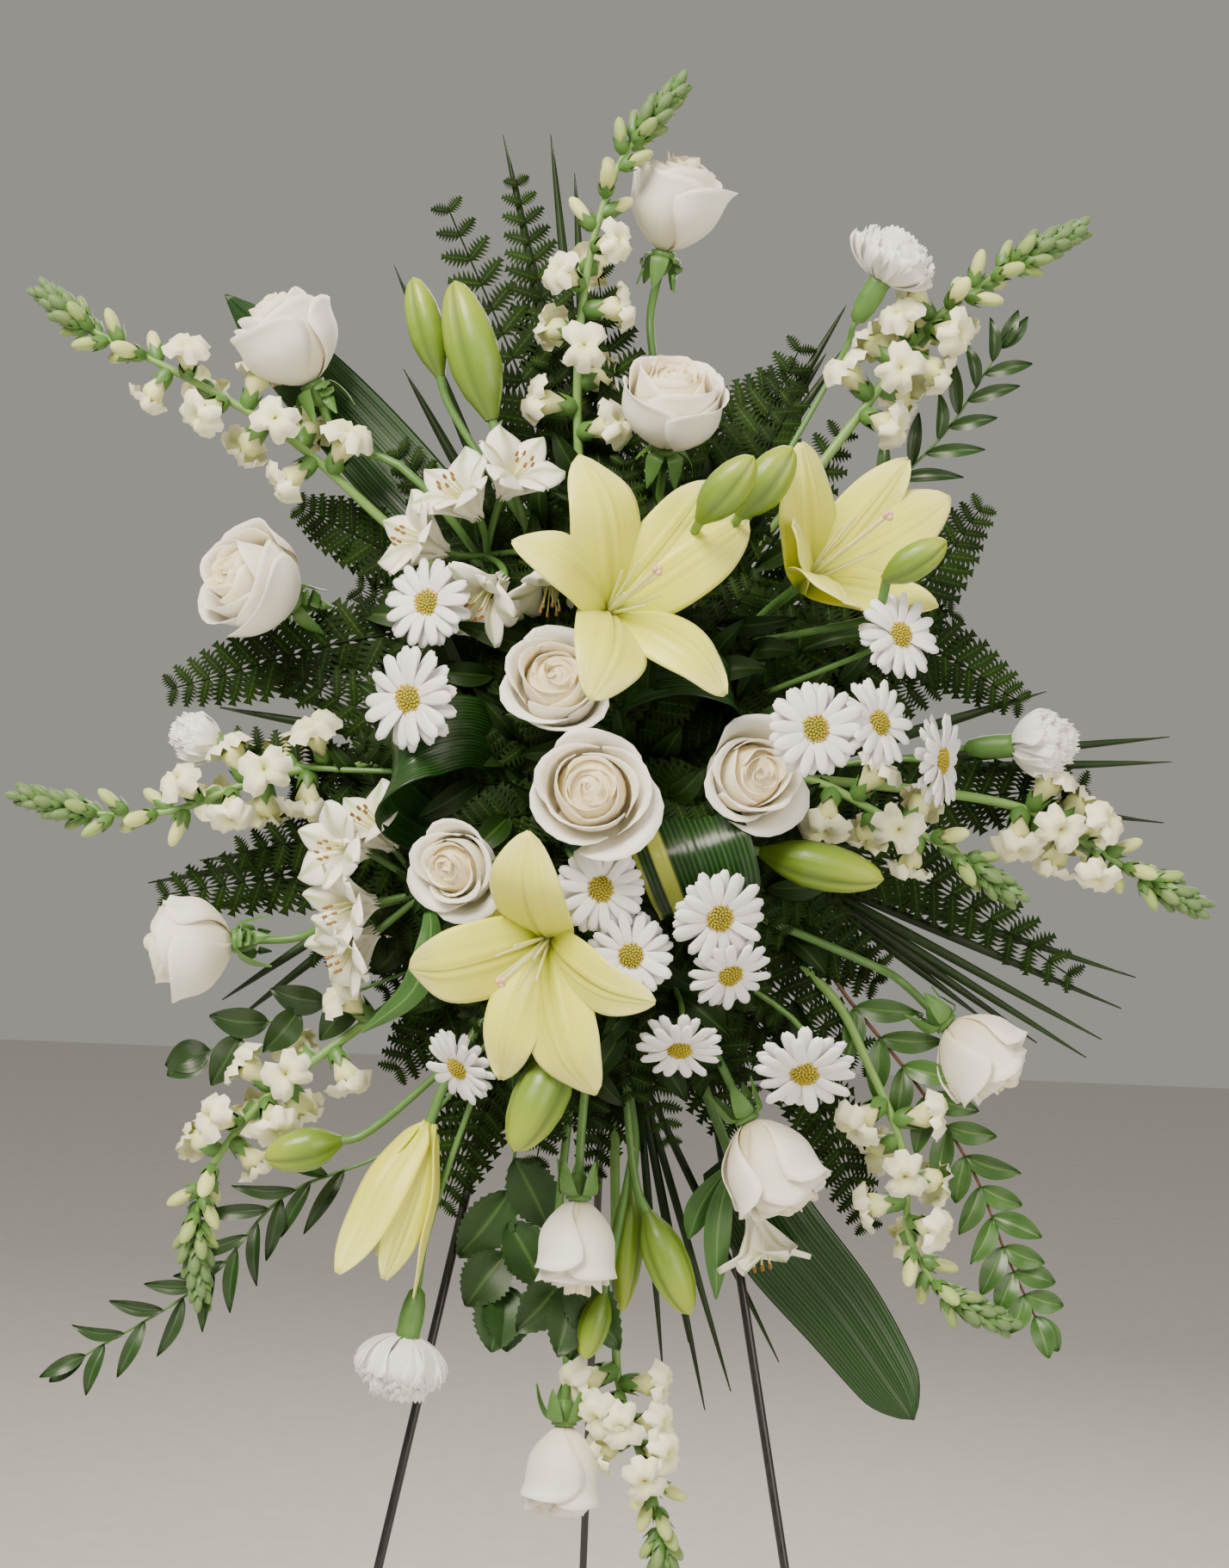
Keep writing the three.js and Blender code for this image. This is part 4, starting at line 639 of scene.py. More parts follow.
# Stalk and calyx: fresh smooth green with a low shine, palest on the snapdragons
stalk_green = stalk_material("flower stalk, smooth green", "#3d6230", "#5f8a43")
spike_green = stalk_material("snapdragon stalk, pale green", "#5c8340", "#7ea558")
bract_green = stalk_material("calyx and bract, soft green", "#37602a", "#5f8a40")
# Myrtle twig: thin woody bark, red-brown against its leaves
reddish_stalk = stalk_material("myrtle twig, red-brown bark", "#4a2a20", "#6e4a33")
# Filament: thin and watery, almost the colour of the tepals
filament_green = stalk_material("filament, pale yellow-green", "#d4d98c", "#e8e6ae")
# Anther: dry pollen without any shine
anther_brown = stalk_material("anther, powdery orange-brown", "#76552c", "#a37f45", 0.9)
# Stigma: moist and smooth, so it has the brightest small light
stigma_peach = stalk_material("stigma, moist peach", "#e0ad84", "#efc9a4", 0.35)
# Daisy disc: close dry florets, olive below and gold where they are open
disc_olive = stalk_material("daisy disc, young green florets", "#566020", "#7d8230", 0.8)
disc_gold = stalk_material("daisy disc, golden florets", "#8a8420", "#cdb52a", 0.75)


def bud_material():
    """Lily bud, 80 mm round: waxy yellow-green skin with painted shade in its three grooves, yellow at the
    tip.
    """
    material = new_material("lily bud, waxy yellow-green", 0.38, 0.08, 0.15)
    tree = material.node_tree
    fine = streaks(tree, 80, 4)
    # Dark green where the tint marks a groove is painted shade
    colour = coated(tree, ("layer", (0.0, "#3d631a"), (0.5, "#62871f"), (1.0, "#97ab2b")),
                    ("#3c611c", 1.0, "tint"), ("#b2c048", 0.25, fine))
    return surfaced(material, colour, fine, 0.15)


def floret_bud_material():
    """Unopened snapdragon floret: downy, pale yellow where it is about to open, green when young."""
    material = new_material("snapdragon bud, downy yellow-green", 0.6, 0.1, Sheen_Weight=0.2)
    tree = material.node_tree
    down = speckle(tree, 1.0)
    colour = coated(tree, ("tint", (0.0, "#436a2d"), (0.4, "#86a24a"), (1.0, "#e0e494")),
                    ("#dfe6b4", 0.15, down))
    return surfaced(material, colour, down, 0.1)


def wire_material():
    """Painted steel wire: black enamel, satin, a little uneven where it was dipped."""
    material = new_material("easel wire, black enamel on steel", 0.35, 0.0, 0.3)
    tree = material.node_tree
    runs = speckle(tree, 6)
    rough = add_node(tree, "ShaderNodeMapRange", {"Value": runs, "To Min": 0.28, "To Max": 0.5})
    tree.links.new(rough.outputs["Result"], tree.nodes["Principled BSDF"].inputs["Roughness"])
    colour = coated(tree, (runs, (0.3, "#0b0b0c"), (0.7, "#1c1c1e")))
    return surfaced(material, colour, runs, 0.05)


def grained_material(name, roughness, size, detail, dark, light, depth=0.0):
    """Plain stuff in two close colours, with grains of about size mm."""
    material = new_material(name, roughness)
    tree = material.node_tree
    grain = speckle(tree, size, detail)
    colour = coated(tree, (grain, (0.3, dark), (0.7, light)))
    return surfaced(material, colour, grain if depth else None, depth)


def floor_material():
    """Floor: pale matt studio floor with hardly any pattern, which takes soft shadows."""
    return grained_material("studio floor, pale matt", 0.9, 40, 2.0, "#d4d2ce", "#dad8d4")


bud_green = bud_material()
floret_bud_green = floret_bud_material()
striped_white = alstroemeria_material()
aspidistra_green = aspidistra_material()
wire_black = wire_material()
# Floral foam: crumbly wet phenolic foam, quite matt, with open cells drawn 1.5 mm wide to show
wet_foam = grained_material("floral foam, wet dark green", 0.85, 1.5, 4.0, "#1b3a24", "#34623d", 0.6)
# Foam tray: thin moulded polystyrene, dark green, with a faint grain and a dull sheen
moulded_tray = grained_material("foam tray, moulded dark green plastic", 0.5, 0.8, 2.0, "#17261a",
                                "#223524", 0.05)

# Layout, the same as the solids': at is [across, down, depth], and the hub names the stems' group

ROSES = {
    "rose_top": dict(at=(783, 237, 70), turn=80, tilt=75, width=60, height=62, hub="upper",
                     via=[(760, 430, 66), (762, 560, 74)], opened=0.65),
    "rose_upper": dict(at=(780, 472, 140), turn=85, tilt=52, width=62, height=58, hub="upper",
                       opened=0.5),
    "rose_upper_left": dict(at=(338, 395, 100), turn=118, tilt=80, width=60, height=60,
                            hub="upper", via=[(470, 545, 100)], opened=0.35),
    "rose_left_high": dict(at=(297, 678, 95), turn=160, tilt=50, width=64, height=60, hub="left",
                           opened=0.7),
    "rose_left_low": dict(at=(222, 1096, 85), turn=185, tilt=84, width=60, height=54, hub="left",
                          via=[(410, 1060, 94)], opened=0.3),
    "rose_centre_high": dict(at=(647, 797, 205), turn=100, tilt=22, width=62, height=50,
                             hub="upper", opened=0.9),
    "rose_centre": dict(at=(687, 920, 235), turn=100, tilt=8, width=68, height=50, hub="left",
                        opened=1),
    "rose_centre_right": dict(at=(870, 902, 190), turn=20, tilt=22, width=62, height=50,
                              hub="right", opened=0.9),
    "rose_centre_left": dict(at=(533, 1008, 190), turn=170, tilt=20, width=54, height=50,
                             hub="left", opened=0.9),
    "rose_right_low": dict(at=(1138, 1226, 95), turn=-41, tilt=80, width=54, height=56,
                           hub="right", via=[(1010, 1120, 98)], opened=0.5),
    "rose_lower_right": dict(at=(895, 1357, 150), turn=-62, tilt=78, width=58, height=64,
                             hub="lower", opened=0.6),
    "rose_lower": dict(at=(670, 1448, 150), turn=-90, tilt=86, width=48, height=58, hub="lower",
                       opened=0.4),
    "rose_bottom": dict(at=(653, 1710, 100), turn=-90, tilt=86, width=46, height=60, hub="lower",
                        via=[(644, 1515, 108)], opened=0.4),
}
CARNATIONS = {
    "carnation_upper_right": dict(at=(1035, 304, 112), turn=62, tilt=75, width=58, height=28,
                                  hub="upper", via=[(985, 400, 92)]),
    "carnation_right": dict(at=(1206, 865, 95), turn=5, tilt=75, width=46, height=34,
                            hub="right", via=[(1055, 880, 97)]),
    "carnation_left": dict(at=(232, 858, 75), turn=165, tilt=80, width=36, height=26, hub="left",
                           via=[(372, 893, 96)]),
    "carnation_lower_left": dict(at=(467, 1582, 128), turn=-100, tilt=86, width=60, height=34,
                                 hub="lower", via=[(496, 1435, 124)]),
}
DAISIES = {
    "daisy_left_high": [dict(at=(497, 700, 170), turn=150, tilt=25, hub="left")],
    "daisy_left": [dict(at=(476, 812, 190), turn=180, tilt=30, hub="left", radius=34)],
    "daisies_right": [dict(at=(947, 847, 238), turn=0, tilt=10, hub="right"),
                      dict(at=(1020, 840, 222), turn=20, tilt=40, hub="right", radius=29)],
    "daisy_right_high": [dict(at=(1045, 738, 195), turn=30, tilt=30, hub="right", radius=29)],
    "daisy_far_right": [dict(at=(1093, 884, 165), turn=0, tilt=62, hub="right")],
    "daisies_centre": [dict(at=(698, 1033, 221), turn=0, tilt=4, hub="left", radius=29),
                       dict(at=(733, 1110, 219), turn=0, tilt=6, hub="left", radius=28)],
    "daisies_centre_right": [dict(at=(836, 1066, 225), turn=-45, tilt=24, hub="right"),
                             dict(at=(848, 1132, 207), turn=-60, tilt=40, hub="right", radius=28)],
    "daisy_lower": [dict(at=(790, 1218, 190), turn=-90, tilt=45, hub="lower", radius=28)],
    "daisy_lower_right": [dict(at=(935, 1246, 190), turn=-90, tilt=38, hub="lower", radius=33)],
    "daisy_lower_left": [dict(at=(533, 1240, 180), turn=220, tilt=48, hub="lower", radius=27)],
}
LILIES = {
    "lily_upper": dict(at=(712, 707, 205), turn=38, tilt=30, cup=34, bulge=9, hub="upper",
                       tips=[(678, 533), (822, 562), (865, 605), (840, 800), (690, 805), (604, 630)]),
    "lily_lower": dict(at=(632, 1095, 212), turn=222, tilt=28, cup=34, bulge=9, hub="lower",
                       tips=[(612, 975), (752, 1165), (686, 1268), (582, 1250), (480, 1128),
                             (548, 1040, 150)]),
    "lily_right": dict(at=(945, 668, 165), turn=40, tilt=42, cup=46, bulge=0, hub="right", scale=1.0,
                       tips=[(937, 518), (1056, 535), (1103, 577), (1088, 698), (985, 692),
                             (930, 610)]),
}
HANGING_LILY = dict(base=(499, 1305, 130), tip=(425, 1485, 138), turn=-110, tilt=86, hub="lower")
BUDS = [
    dict(base=(512, 438, 110), tip=(480, 322, 110), hub="upper", width=24, joins="bud_high",
         share=0.35),
    dict(name="bud_high", base=(572, 488, 130), tip=(528, 326, 130), hub="upper", width=34),
    dict(base=(812, 606, 232), tip=(876, 530, 250), hub="upper", width=26, joins="lily_upper",
         share=0.35, via=[(804, 622, 200), (790, 645, 178)]),
    dict(base=(858, 600, 205), tip=(921, 519, 215), hub="upper", width=28, joins="lily_upper",
         share=0.45, via=[(845, 618, 184)]),
    dict(base=(1026, 674, 205), tip=(1100, 628, 215), hub="right", width=22, joins="lily_right",
         share=0.3, via=[(1020, 712, 186), (1000, 722, 160)]),
    dict(name="bud_right", base=(884, 990, 165), tip=(1027, 1022, 180), hub="right", width=30),
    dict(base=(655, 1215, 200), tip=(597, 1338, 212), hub="lower", width=34, joins="lily_lower",
         share=0.2),
    dict(base=(397, 1325, 120), tip=(307, 1345, 125), hub="lower", width=28,
         joins="lily_half_open", share=0.15),
    dict(name="bud_low", base=(752, 1408, 125), tip=(802, 1528, 130), hub="lower", width=28),
    dict(base=(735, 1365, 105), tip=(722, 1525, 108), hub="lower", width=22, joins="bud_low",
         share=0.4),
    dict(base=(702, 1500, 122), tip=(678, 1580, 128), hub="lower", width=20, joins="bud_low",
         share=0.15),
]
SNAPDRAGONS = {
    "snapdragon_top": (0.27, [(700, 760, 80), (672, 520, 96), (680, 330, 104), (720, 190, 104),
                              (786, 104, 96)]),
    "snapdragon_upper_left": (0.3, [(650, 800, 80), (440, 600, 90), (330, 505, 95),
                                     (200, 430, 95), (110, 385, 90), (58, 345, 85)]),
    "snapdragon_left": (0.2, [(640, 900, 78), (380, 890, 86), (290, 910, 90), (200, 942, 90),
                               (110, 945, 88), (30, 925, 85)]),
    "snapdragon_lower_left": (0.15, [(650, 1030, 80), (375, 1225, 85), (300, 1285, 90),
                                     (240, 1370, 90), (228, 1430, 90), (232, 1500, 88)]),
    "snapdragon_upper_right": (0.2, [(752, 800, 80), (1000, 480, 85), (1060, 400, 90),
                                     (1110, 350, 88), (1180, 305, 85), (1245, 272, 80)]),
    "snapdragon_right": (0.3, [(780, 890, 75), (1150, 930, 80), (1215, 950, 85), (1270, 985, 85),
                                (1330, 1020, 82), (1385, 1050, 80)]),
    "snapdragon_lower_right": (0.4, [(770, 1020, 80), (960, 1150, 85), (1010, 1240, 90),
                                     (1050, 1340, 92), (1058, 1440, 90), (1095, 1500, 90),
                                     (1160, 1535, 85)]),
    "snapdragon_bottom": (0.38, [(712, 1070, 75), (716, 1500, 76), (718, 1600, 84),
                                 (740, 1680, 88), (765, 1760, 86), (770, 1850, 84)]),
    "snapdragon_centre_right": (0.34, [(782, 930, 112), (930, 905, 130), (1030, 950, 138),
                                       (1100, 985, 138), (1170, 1035, 132)]),
}
ALSTROEMERIAS = {
    "alstroemeria_upper_left": dict(
        fork=(565, 645, 120), root=(-40, -92, 1255),
        florets=[(600, 545, 150, 60, 50), (532, 570, 150, 130, 55), (482, 625, 140, 160, 60),
                 (560, 695, 165, 230, 50), (640, 688, 158, 270, 60)], leaves=[]),
    "alstroemeria_left": dict(
        fork=(495, 1035, 130), root=(-30, -112, 1160),
        florets=[(392, 985, 150, 170, 45), (432, 955, 140, 130, 60), (400, 1055, 150, 190, 50),
                 (402, 1105, 140, 215, 60)],
        leaves=[[(500, 1090, 160), (480, 1150, 165), (420, 1200, 160)]]),
    "alstroemeria_bottom": dict(
        fork=(850, 1350, 105), root=(20, -84, 1110), florets=[(885, 1452, 108, 285, 75)],
        leaves=[[(835, 1420, 112), (832, 1510, 112)], [(815, 1400, 105), (800, 1440, 105)]]),
}
LOOPED_LEAVES = [
    dict(half=24, across=(0.25, 0.2, 1), striped=0, taper=0.04,
         route=[(600, 880, 130), (545, 850, 168), (480, 868, 180), (452, 920, 168),
                (490, 960, 140), (590, 985, 132)]),
    dict(half=24, across=(-0.2, 0.5, 0.8), striped=0, taper=0.04,
         route=[(722, 850, 136), (728, 790, 160), (790, 772, 178), (846, 800, 170),
                (848, 860, 140)]),
    dict(half=36, across=(1, 0, 0.35), striped=1, taper=0.04,
         route=[(748, 905, 128), (778, 930, 166), (806, 990, 200), (822, 1042, 192),
                (812, 1046, 165), (800, 1020, 135)]),
]
FLAT_LEAVES = [
    dict(half=27, route=[(560, 660, 86), (470, 560, 70), (360, 440, 62), (262, 342, 64)]),
    dict(half=31, power=0.35, taper=0.12,
         route=[(850, 1340, 86), (900, 1430, 84), (980, 1530, 84), (1062, 1650, 84)]),
]
FRONDS = [
    (17, [(560, 740, 66), (430, 740, 68), (310, 770, 68), (200, 800, 66)]),
    (15, [(560, 700, 66), (450, 640, 68), (350, 590, 66)]),
    (17, [(660, 640, 66), (620, 480, 70), (520, 240, 66)]),
    (14, [(680, 600, 68), (640, 400, 64), (600, 210, 62)]),
    (15, [(790, 700, 66), (830, 520, 66), (925, 430, 62)]),
    (16, [(880, 780, 64), (1050, 700, 66), (1140, 590, 64)]),
    (16, [(880, 800, 66), (1060, 750, 70), (1185, 815, 66)]),
    (17, [(860, 930, 66), (1060, 930, 68), (1260, 915, 64)]),
    (17, [(850, 980, 66), (1050, 1010, 68), (1245, 1135, 64)]),
    (17, [(620, 1100, 66), (570, 1250, 68), (515, 1400, 66)]),
    (15, [(850, 1150, 66), (950, 1280, 66), (1008, 1424, 64)]),
    (17, [(560, 1000, 66), (380, 1010, 66), (190, 1040, 62)]),
]
FANS = [
    ((900, 1000, 59), 3.2, [(1320, 1136), (1303, 1172), (1280, 1208), (1262, 1229), (1205, 1212),
                            (1150, 1190)]),
    ((900, 900, 58), 4, [(1216, 803), (1359, 856), (1362, 885), (1352, 956)]),
    ((560, 960, 59), 4, [(172, 1026), (258, 1162), (275, 1185), (232, 1000), (200, 1070)]),
    ((580, 880, 58), 4, [(255, 822), (290, 792)]),
    ((690, 640, 58), 4, [(585, 157), (640, 155), (668, 200)]),
    ((620, 700, 59), 4, [(458, 307), (469, 428)]),
    ((790, 680, 58), 4, [(983, 355), (987, 396), (960, 410)]),
    ((740, 1240, 60), 2.6, [(770, 1592), (819, 1639), (849, 1617), (905, 1583), (891, 1553),
                            (800, 1560)]),
]
SPRAYS = [
    dict(kind="ruscus", start=0.36, bands=17, length=50, half=5.2, spread=0.75,
         route=[(560, 1230, 74), (455, 1335, 78), (330, 1390, 80), (240, 1488, 80),
                (90, 1580, 78)]),
    dict(kind="ruscus", start=0.42, bands=11, length=42, half=4.8, spread=0.9,
         route=[(860, 760, 74), (1000, 600, 76), (1100, 500, 78), (1165, 400, 76)]),
    dict(kind="myrtle", start=0.22, bands=11, paired=True, length=42, half=8, spread=1,
         route=[(880, 1020, 74), (985, 1160, 76), (1065, 1260, 76), (1130, 1360, 76),
                (1170, 1460, 76), (1205, 1535, 74)]),
    dict(kind="ruscus", start=0.35, bands=5, length=46, half=11, spread=0.7,
         route=[(560, 1080, 74), (420, 1150, 76), (330, 1180, 76), (240, 1222, 74)]),
    dict(kind="rose", start=0.55, bands=4, length=60, half=18, spread=0.7,
         route=[(640, 1180, 74), (600, 1330, 78), (585, 1500, 80)]),
    dict(kind="rose", start=0.8, bands=3, length=64, half=18, spread=0.7,
         route=[(690, 1180, 74), (668, 1400, 100), (660, 1500, 112)]),
]

# Lines in the foam that the stems of a group are rooted along, in the order of their places
ROOT_LINES = {
    "upper": ((-48, -100, 1280), (34, -100, 1280), 0),
    "left": ((-42, -100, 1140), (-42, -100, 1250), 2),
    "right": ((26, -100, 1140), (26, -100, 1250), 2),
    "lower": ((-52, -100, 1108), (36, -100, 1108), 0),
}
LOOP_LINE = ((-30, -113, 1195), (14, -113, 1195), 0)
FLAT_LINE = ((-20, -87, 1180), (0, -87, 1180), 0)
FROND_LINE = ((-8, -68, 1120), (-8, -68, 1270), 2)
FAN_LINE = ((-14, -58.5, 1120), (-14, -58.5, 1270), 2)
SPRAY_LINE = ((-2, -76, 1130), (-2, -76, 1240), 2)


def roots_along(line, ends):
    """Root of each stem, in the stems' own order, along a line in the foam."""
    first, last = (np.array(point, float) + SHIFT for point in line[:2])
    order = sorted(range(len(ends)), key=lambda i: ends[i][line[2]])
    roots = [None] * len(ends)
    for rank, i in enumerate(order):
        roots[i] = mix(first, last, (rank + 0.5) / len(ends))
    return roots


def random_for(name):
    return np.random.default_rng(sum(ord(letter) * (i + 7) for i, letter in enumerate(name)))


def head_base(bloom):
    return place(bloom["at"]) - facing(bloom["turn"], bloom["tilt"]) * bloom["height"] / 2


# Roses, carnations and daisies

def rose_petals(shape, bloom, rng, count=21):
    """Petals wound at the golden angle: folded over the heart, then a cup, then flared outside."""
    face = facing(bloom["turn"], bloom["tilt"])
    base = head_base(bloom)
    opened, height = bloom["opened"], bloom["height"]
    aside = bloom["tilt"] > SIDE_TILT
    half_width = bloom["width"] / 2 * (ROSE_SIDE_FULLNESS if aside else 1)
    heart = [(0.62, 0.42), (0.6, 0.64), (0.48, 0.78), (0.3, 0.87), (0.12, 0.92), (0.01, 0.93)]
    dome = turned([(half_width * r, height * z) for r, z in heart], 20)
    shape.sheet(placed(dome, base, face), 0.3, closed=True)
    u, v = np.meshgrid(np.linspace(-1, 1, 11), np.linspace(0, 1, 11))
    for k in range(count):
        s = k / (count - 1)
        angle = k * GOLDEN_TURN + rng.uniform(-0.35, 0.35)
        belly = half_width * np.interp(s, [0, 0.42, 0.7, 1], [0.1, 0.42, 0.7, 0.9])
        rim = half_width * np.interp(s, [0, 0.42, 0.7, 1],
                                     [0.03, 0.25, 0.6, mix(0.84, 1.08, opened)])
        top = height * np.interp(s, [0, 0.25, 0.7, 1], [0.94, 1.0, 0.96, mix(0.84, 0.76, opened)])
        top *= rng.uniform(0.93, 1.04)
        corner = mix(0.14, 0.24, s)
        rise = v * (1 - corner * np.abs(u) ** 3 + 0.03 * np.cos(4 * u + 2 * angle))
        swell = np.sin(np.minimum(rise / 0.6, 1) * math.pi / 2) ** 0.8
        closing = np.clip((rise - 0.5) / 0.5, 0, 1) ** 1.3
        radius = mix(2 + 3 * s, belly, swell) + (rim - belly) * closing
        radius = radius + half_width * rng.uniform(-0.05, 0.1) * s * v ** 2
        lip = np.interp(s, [0, 0.42, 0.7, 1], [1.0, 2.2, 3.2, mix(3.2, 6.5, opened)])
        lip = lip * rng.uniform(0.5, 1.4) * (1 + 0.2 * np.abs(u)) * (0.5 if aside else 1)
        curl = np.clip((rise - 0.78) / 0.22, 0, 1.2) ** 2
        ruffle = (1.5 if aside else 1) * mix(1.1, 1.7, s) * np.sin(2.7 * u + 5 * angle) * v ** 3
        radius = np.maximum(radius * (1 + 0.05 * u) + curl * lip + ruffle, 0.3)
        spread = mix(1.5, 1.12, s) * (0.4 + 0.6 * np.sin(math.pi * (0.05 + 0.5 * v)))
        turn = angle + u * spread
        folded = max(1 - s / 0.45, 0)
        radius = radius * (1 + 0.2 * folded * np.sin(3 * turn + 2.1 * k)
                           + 0.04 * np.sin(2 * turn + 1.7 * bloom["turn"]))
        wave = mix(0.6, 1.6, s) * np.sin(4.3 * u + 3 * angle) * v ** 4
        high = top * rise - curl * lip * mix(0.1, 0.7, s) + wave
        grid = np.stack([radius * np.cos(turn), radius * np.sin(turn), high], -1)
        layer = np.clip(0.85 * s + 0.15 * v - 0.25 * (1 - v), 0, 1)
        shape.sheet(placed(grid, base, face), layer, rng.uniform(0.2, 1))


def carnation_petals(shape, bloom, rng, count=34):
    """Fan-shaped petals with frilled, toothed edges, upright at the heart and flat outside."""
    face = facing(bloom["turn"], bloom["tilt"])
    base = head_base(bloom)
    size = bloom["width"] / CARNATION_WIDTH
    height = bloom["height"] * CARNATION_FULLNESS
    u, v = np.meshgrid(np.linspace(-1, 1, 17), np.linspace(0, 1, 7))
    tooth = np.where(np.arange(17) % 2 == 0, 0.0, 0.05)[None, :]
    for k in range(count):
        s = k / (count - 1)
        angle = k * GOLDEN_TURN
        lean = math.radians(mix(6, 70, s ** 0.75) + rng.uniform(-5, 5))
        reach = bloom["width"] / 2 * math.sin(lean) * rng.uniform(0.9, 1.04)
        top = height * (0.3 + 0.72 * math.cos(lean)) * rng.uniform(0.9, 1.03)
        far = v * (1 + tooth * v ** 3 - 0.12 * np.abs(u) ** 3)
        out = mix(3, reach, np.sin(np.minimum(far, 1) * math.pi / 2) ** 0.9)
        high = top * far ** mix(1.0, 1.6, s)
        half = mix(1.5, 16 * size, v ** 1.2)
        frill = size * (1.7 * np.sin(4.6 * u + 9 * k) * v ** 3 + 0.5 * np.sin(11 * u + 4 * k) * v ** 4)
        x = out + frill * math.cos(lean)
        y = u * half
        z = high + frill * math.sin(lean) - 0.1 * half * u ** 2
        c, d = math.cos(angle), math.sin(angle)
        grid = np.stack([x * c - y * d, x * d + y * c, z], -1)
        shape.sheet(placed(grid, base, face), np.clip(0.3 * s + 0.7 * v, 0, 1), rng.uniform(0.4, 1))


def daisy_ray_part():
    """One daisy ray, from the disc to the flower's edge, grooved and notched."""
    shape = Shape()
    u, v = np.meshgrid(np.linspace(-1, 1, 7), np.linspace(0, 1, 8))
    tip = 1 - 0.17 * np.abs(u) ** 2.2 - 0.03 * np.exp(-(u / 0.18) ** 2)
    root, half_width = 4.5, 3.8
    out = root + (DAISY_RADIUS - root) * v * tip
    half = half_width * (0.32 + 0.68 * np.sin(math.pi * (0.04 + 0.6 * v)) ** 0.8)
    groove = 0.7 * np.exp(-((np.abs(u) - 0.38) / 0.16) ** 2)
    high = 1.6 * np.sin(math.pi * v * 0.9) - 1.6 * v ** 3 - 0.9 * u ** 2 - groove
    shape.sheet(np.stack([out, u * half, high], -1), v)
    return as_part(shape, "daisy_ray", 0.5)


def disc_floret_part():
    """One tiny tube floret of a daisy's disc."""
    shape = Shape()
    shape.sheet(turned([(0.75, -0.6), (0.8, 0.5), (0.55, 1.1), (0.02, 0.8)], 6), closed=True)
    return as_part(shape, "disc_floret")


def daisy_piece(name, blooms, ray, floret):
    """Daisies of one node: rays that rise and droop in turn round a domed disc of tiny florets."""
    rng = random_for(name)
    rays, florets = [], []
    dome = Shape()
    for bloom in blooms:
        face = facing(bloom["turn"], bloom["tilt"])
        centre = place(bloom["at"])
        size = bloom.get("radius", DAISY_RADIUS) / DAISY_RADIUS
        for i in range(RAYS):
            out = outward(face, i * math.tau / RAYS + rng.uniform(-0.07, 0.07))
            tip = unit(out + face * (rng.uniform(-0.16, 0.0) if i % 2 else rng.uniform(0, 0.2)))
            drop = -1.2 if i % 2 else 0.4
            length = size * rng.uniform(0.9, 1.0)
            rays.append((centre + face * drop, leaf_axes(tip, face),
                         (length, size * rng.uniform(0.9, 1.1), size), rng.uniform(0.2, 1)))
        disc = DISC_RADIUS * size
        for i in range(DISC_FLORETS):
            share = math.sqrt((i + 0.5) / DISC_FLORETS)
            out = outward(face, i * GOLDEN_TURN)
            spot = centre + out * disc * share + face * (1.2 + 2.6 * (1 - share ** 2))
            ahead = unit(face + out * 0.5 * share)
            side = unit(np.cross(ahead, bloom_axes(face)[1]))
            florets.append((spot, (side, np.cross(ahead, side), ahead), size * mix(0.8, 1.2, share),
                            rng.uniform(0, 1)))
        rings = [(2.5, -3.0), (disc, -1.6), (disc * 1.02, 0.6), (disc * 0.7, 2.4), (0.02, 3.6)]
        dome.sheet(placed(turned(rings, 24), centre, face), closed=True)
    parts = [copies(name, ray, rays, white_ray), copies("florets", floret, florets, disc_gold),
             dome.object("dome", disc_olive)]
    return finished(joined(name + "_rays", parts), "daisy_white", name)


# Lilies and their buds

def sighted_on(across, down, throat, face, cup):
    """Where the line of sight through a place in the picture meets a flower's rim."""
    eye = np.array([0.0, -EYE_DISTANCE, EYE_HEIGHT]) + SHIFT
    ahead = place((across, down, 0)) - eye
    return eye + ahead * (np.dot(throat + face * cup - eye, face) / np.dot(ahead, face))


def ribbon(points, half_widths, front, relief, columns, across=None):
    """Rows of points of a leaf or petal along a route; relief lifts it towards its front."""
    ahead = tangents(points)
    if across is None:
        side = np.cross(ahead, np.broadcast_to(front, points.shape))
    else:
        side = across - ahead * (ahead @ across)[:, None]
    side /= np.maximum(np.linalg.norm(side, axis=1, keepdims=True), 1e-9)
    over = np.cross(side, ahead)
    u = np.linspace(-1, 1, columns)
    grid = points[:, None] + (u[None] * half_widths[:, None])[..., None] * side[:, None]
    v = np.linspace(0, 1, len(points))
    return grid + relief(u[None], v[:, None])[..., None] * over[:, None]


def leaf_widths(half, peak, steps, power, least):
    """Half widths of a leaf along it, widest at its peak; a low power makes it full."""
    share = np.linspace(0, 1, steps + 1) ** (math.log(0.5) / math.log(peak))
    return np.maximum(half * np.sin(math.pi * share) ** power, least)


def tepal_relief(half, rng, wave=1.6):
    """Raised ridges beside a sunk midrib, edges that droop and wave."""
    phase = rng.uniform(0, math.tau, 2)

    def relief(u, v):
        ridges = 2.1 * np.exp(-((np.abs(u) - 0.13) / 0.08) ** 2) - 1.2 * np.exp(-(u / 0.06) ** 2)
        edge = np.where(u < 0, np.sin(17 * v + phase[0]), np.sin(15 * v + phase[1]))
        return (ridges * np.sin(math.pi * np.clip(v, 0, 1)) ** 0.5 + wave * edge * np.abs(u) ** 3 * v
                - 0.2 * half * u ** 2 * np.sin(math.pi * v) + 0.1 * half * np.abs(u) * (1 - v))
    return relief


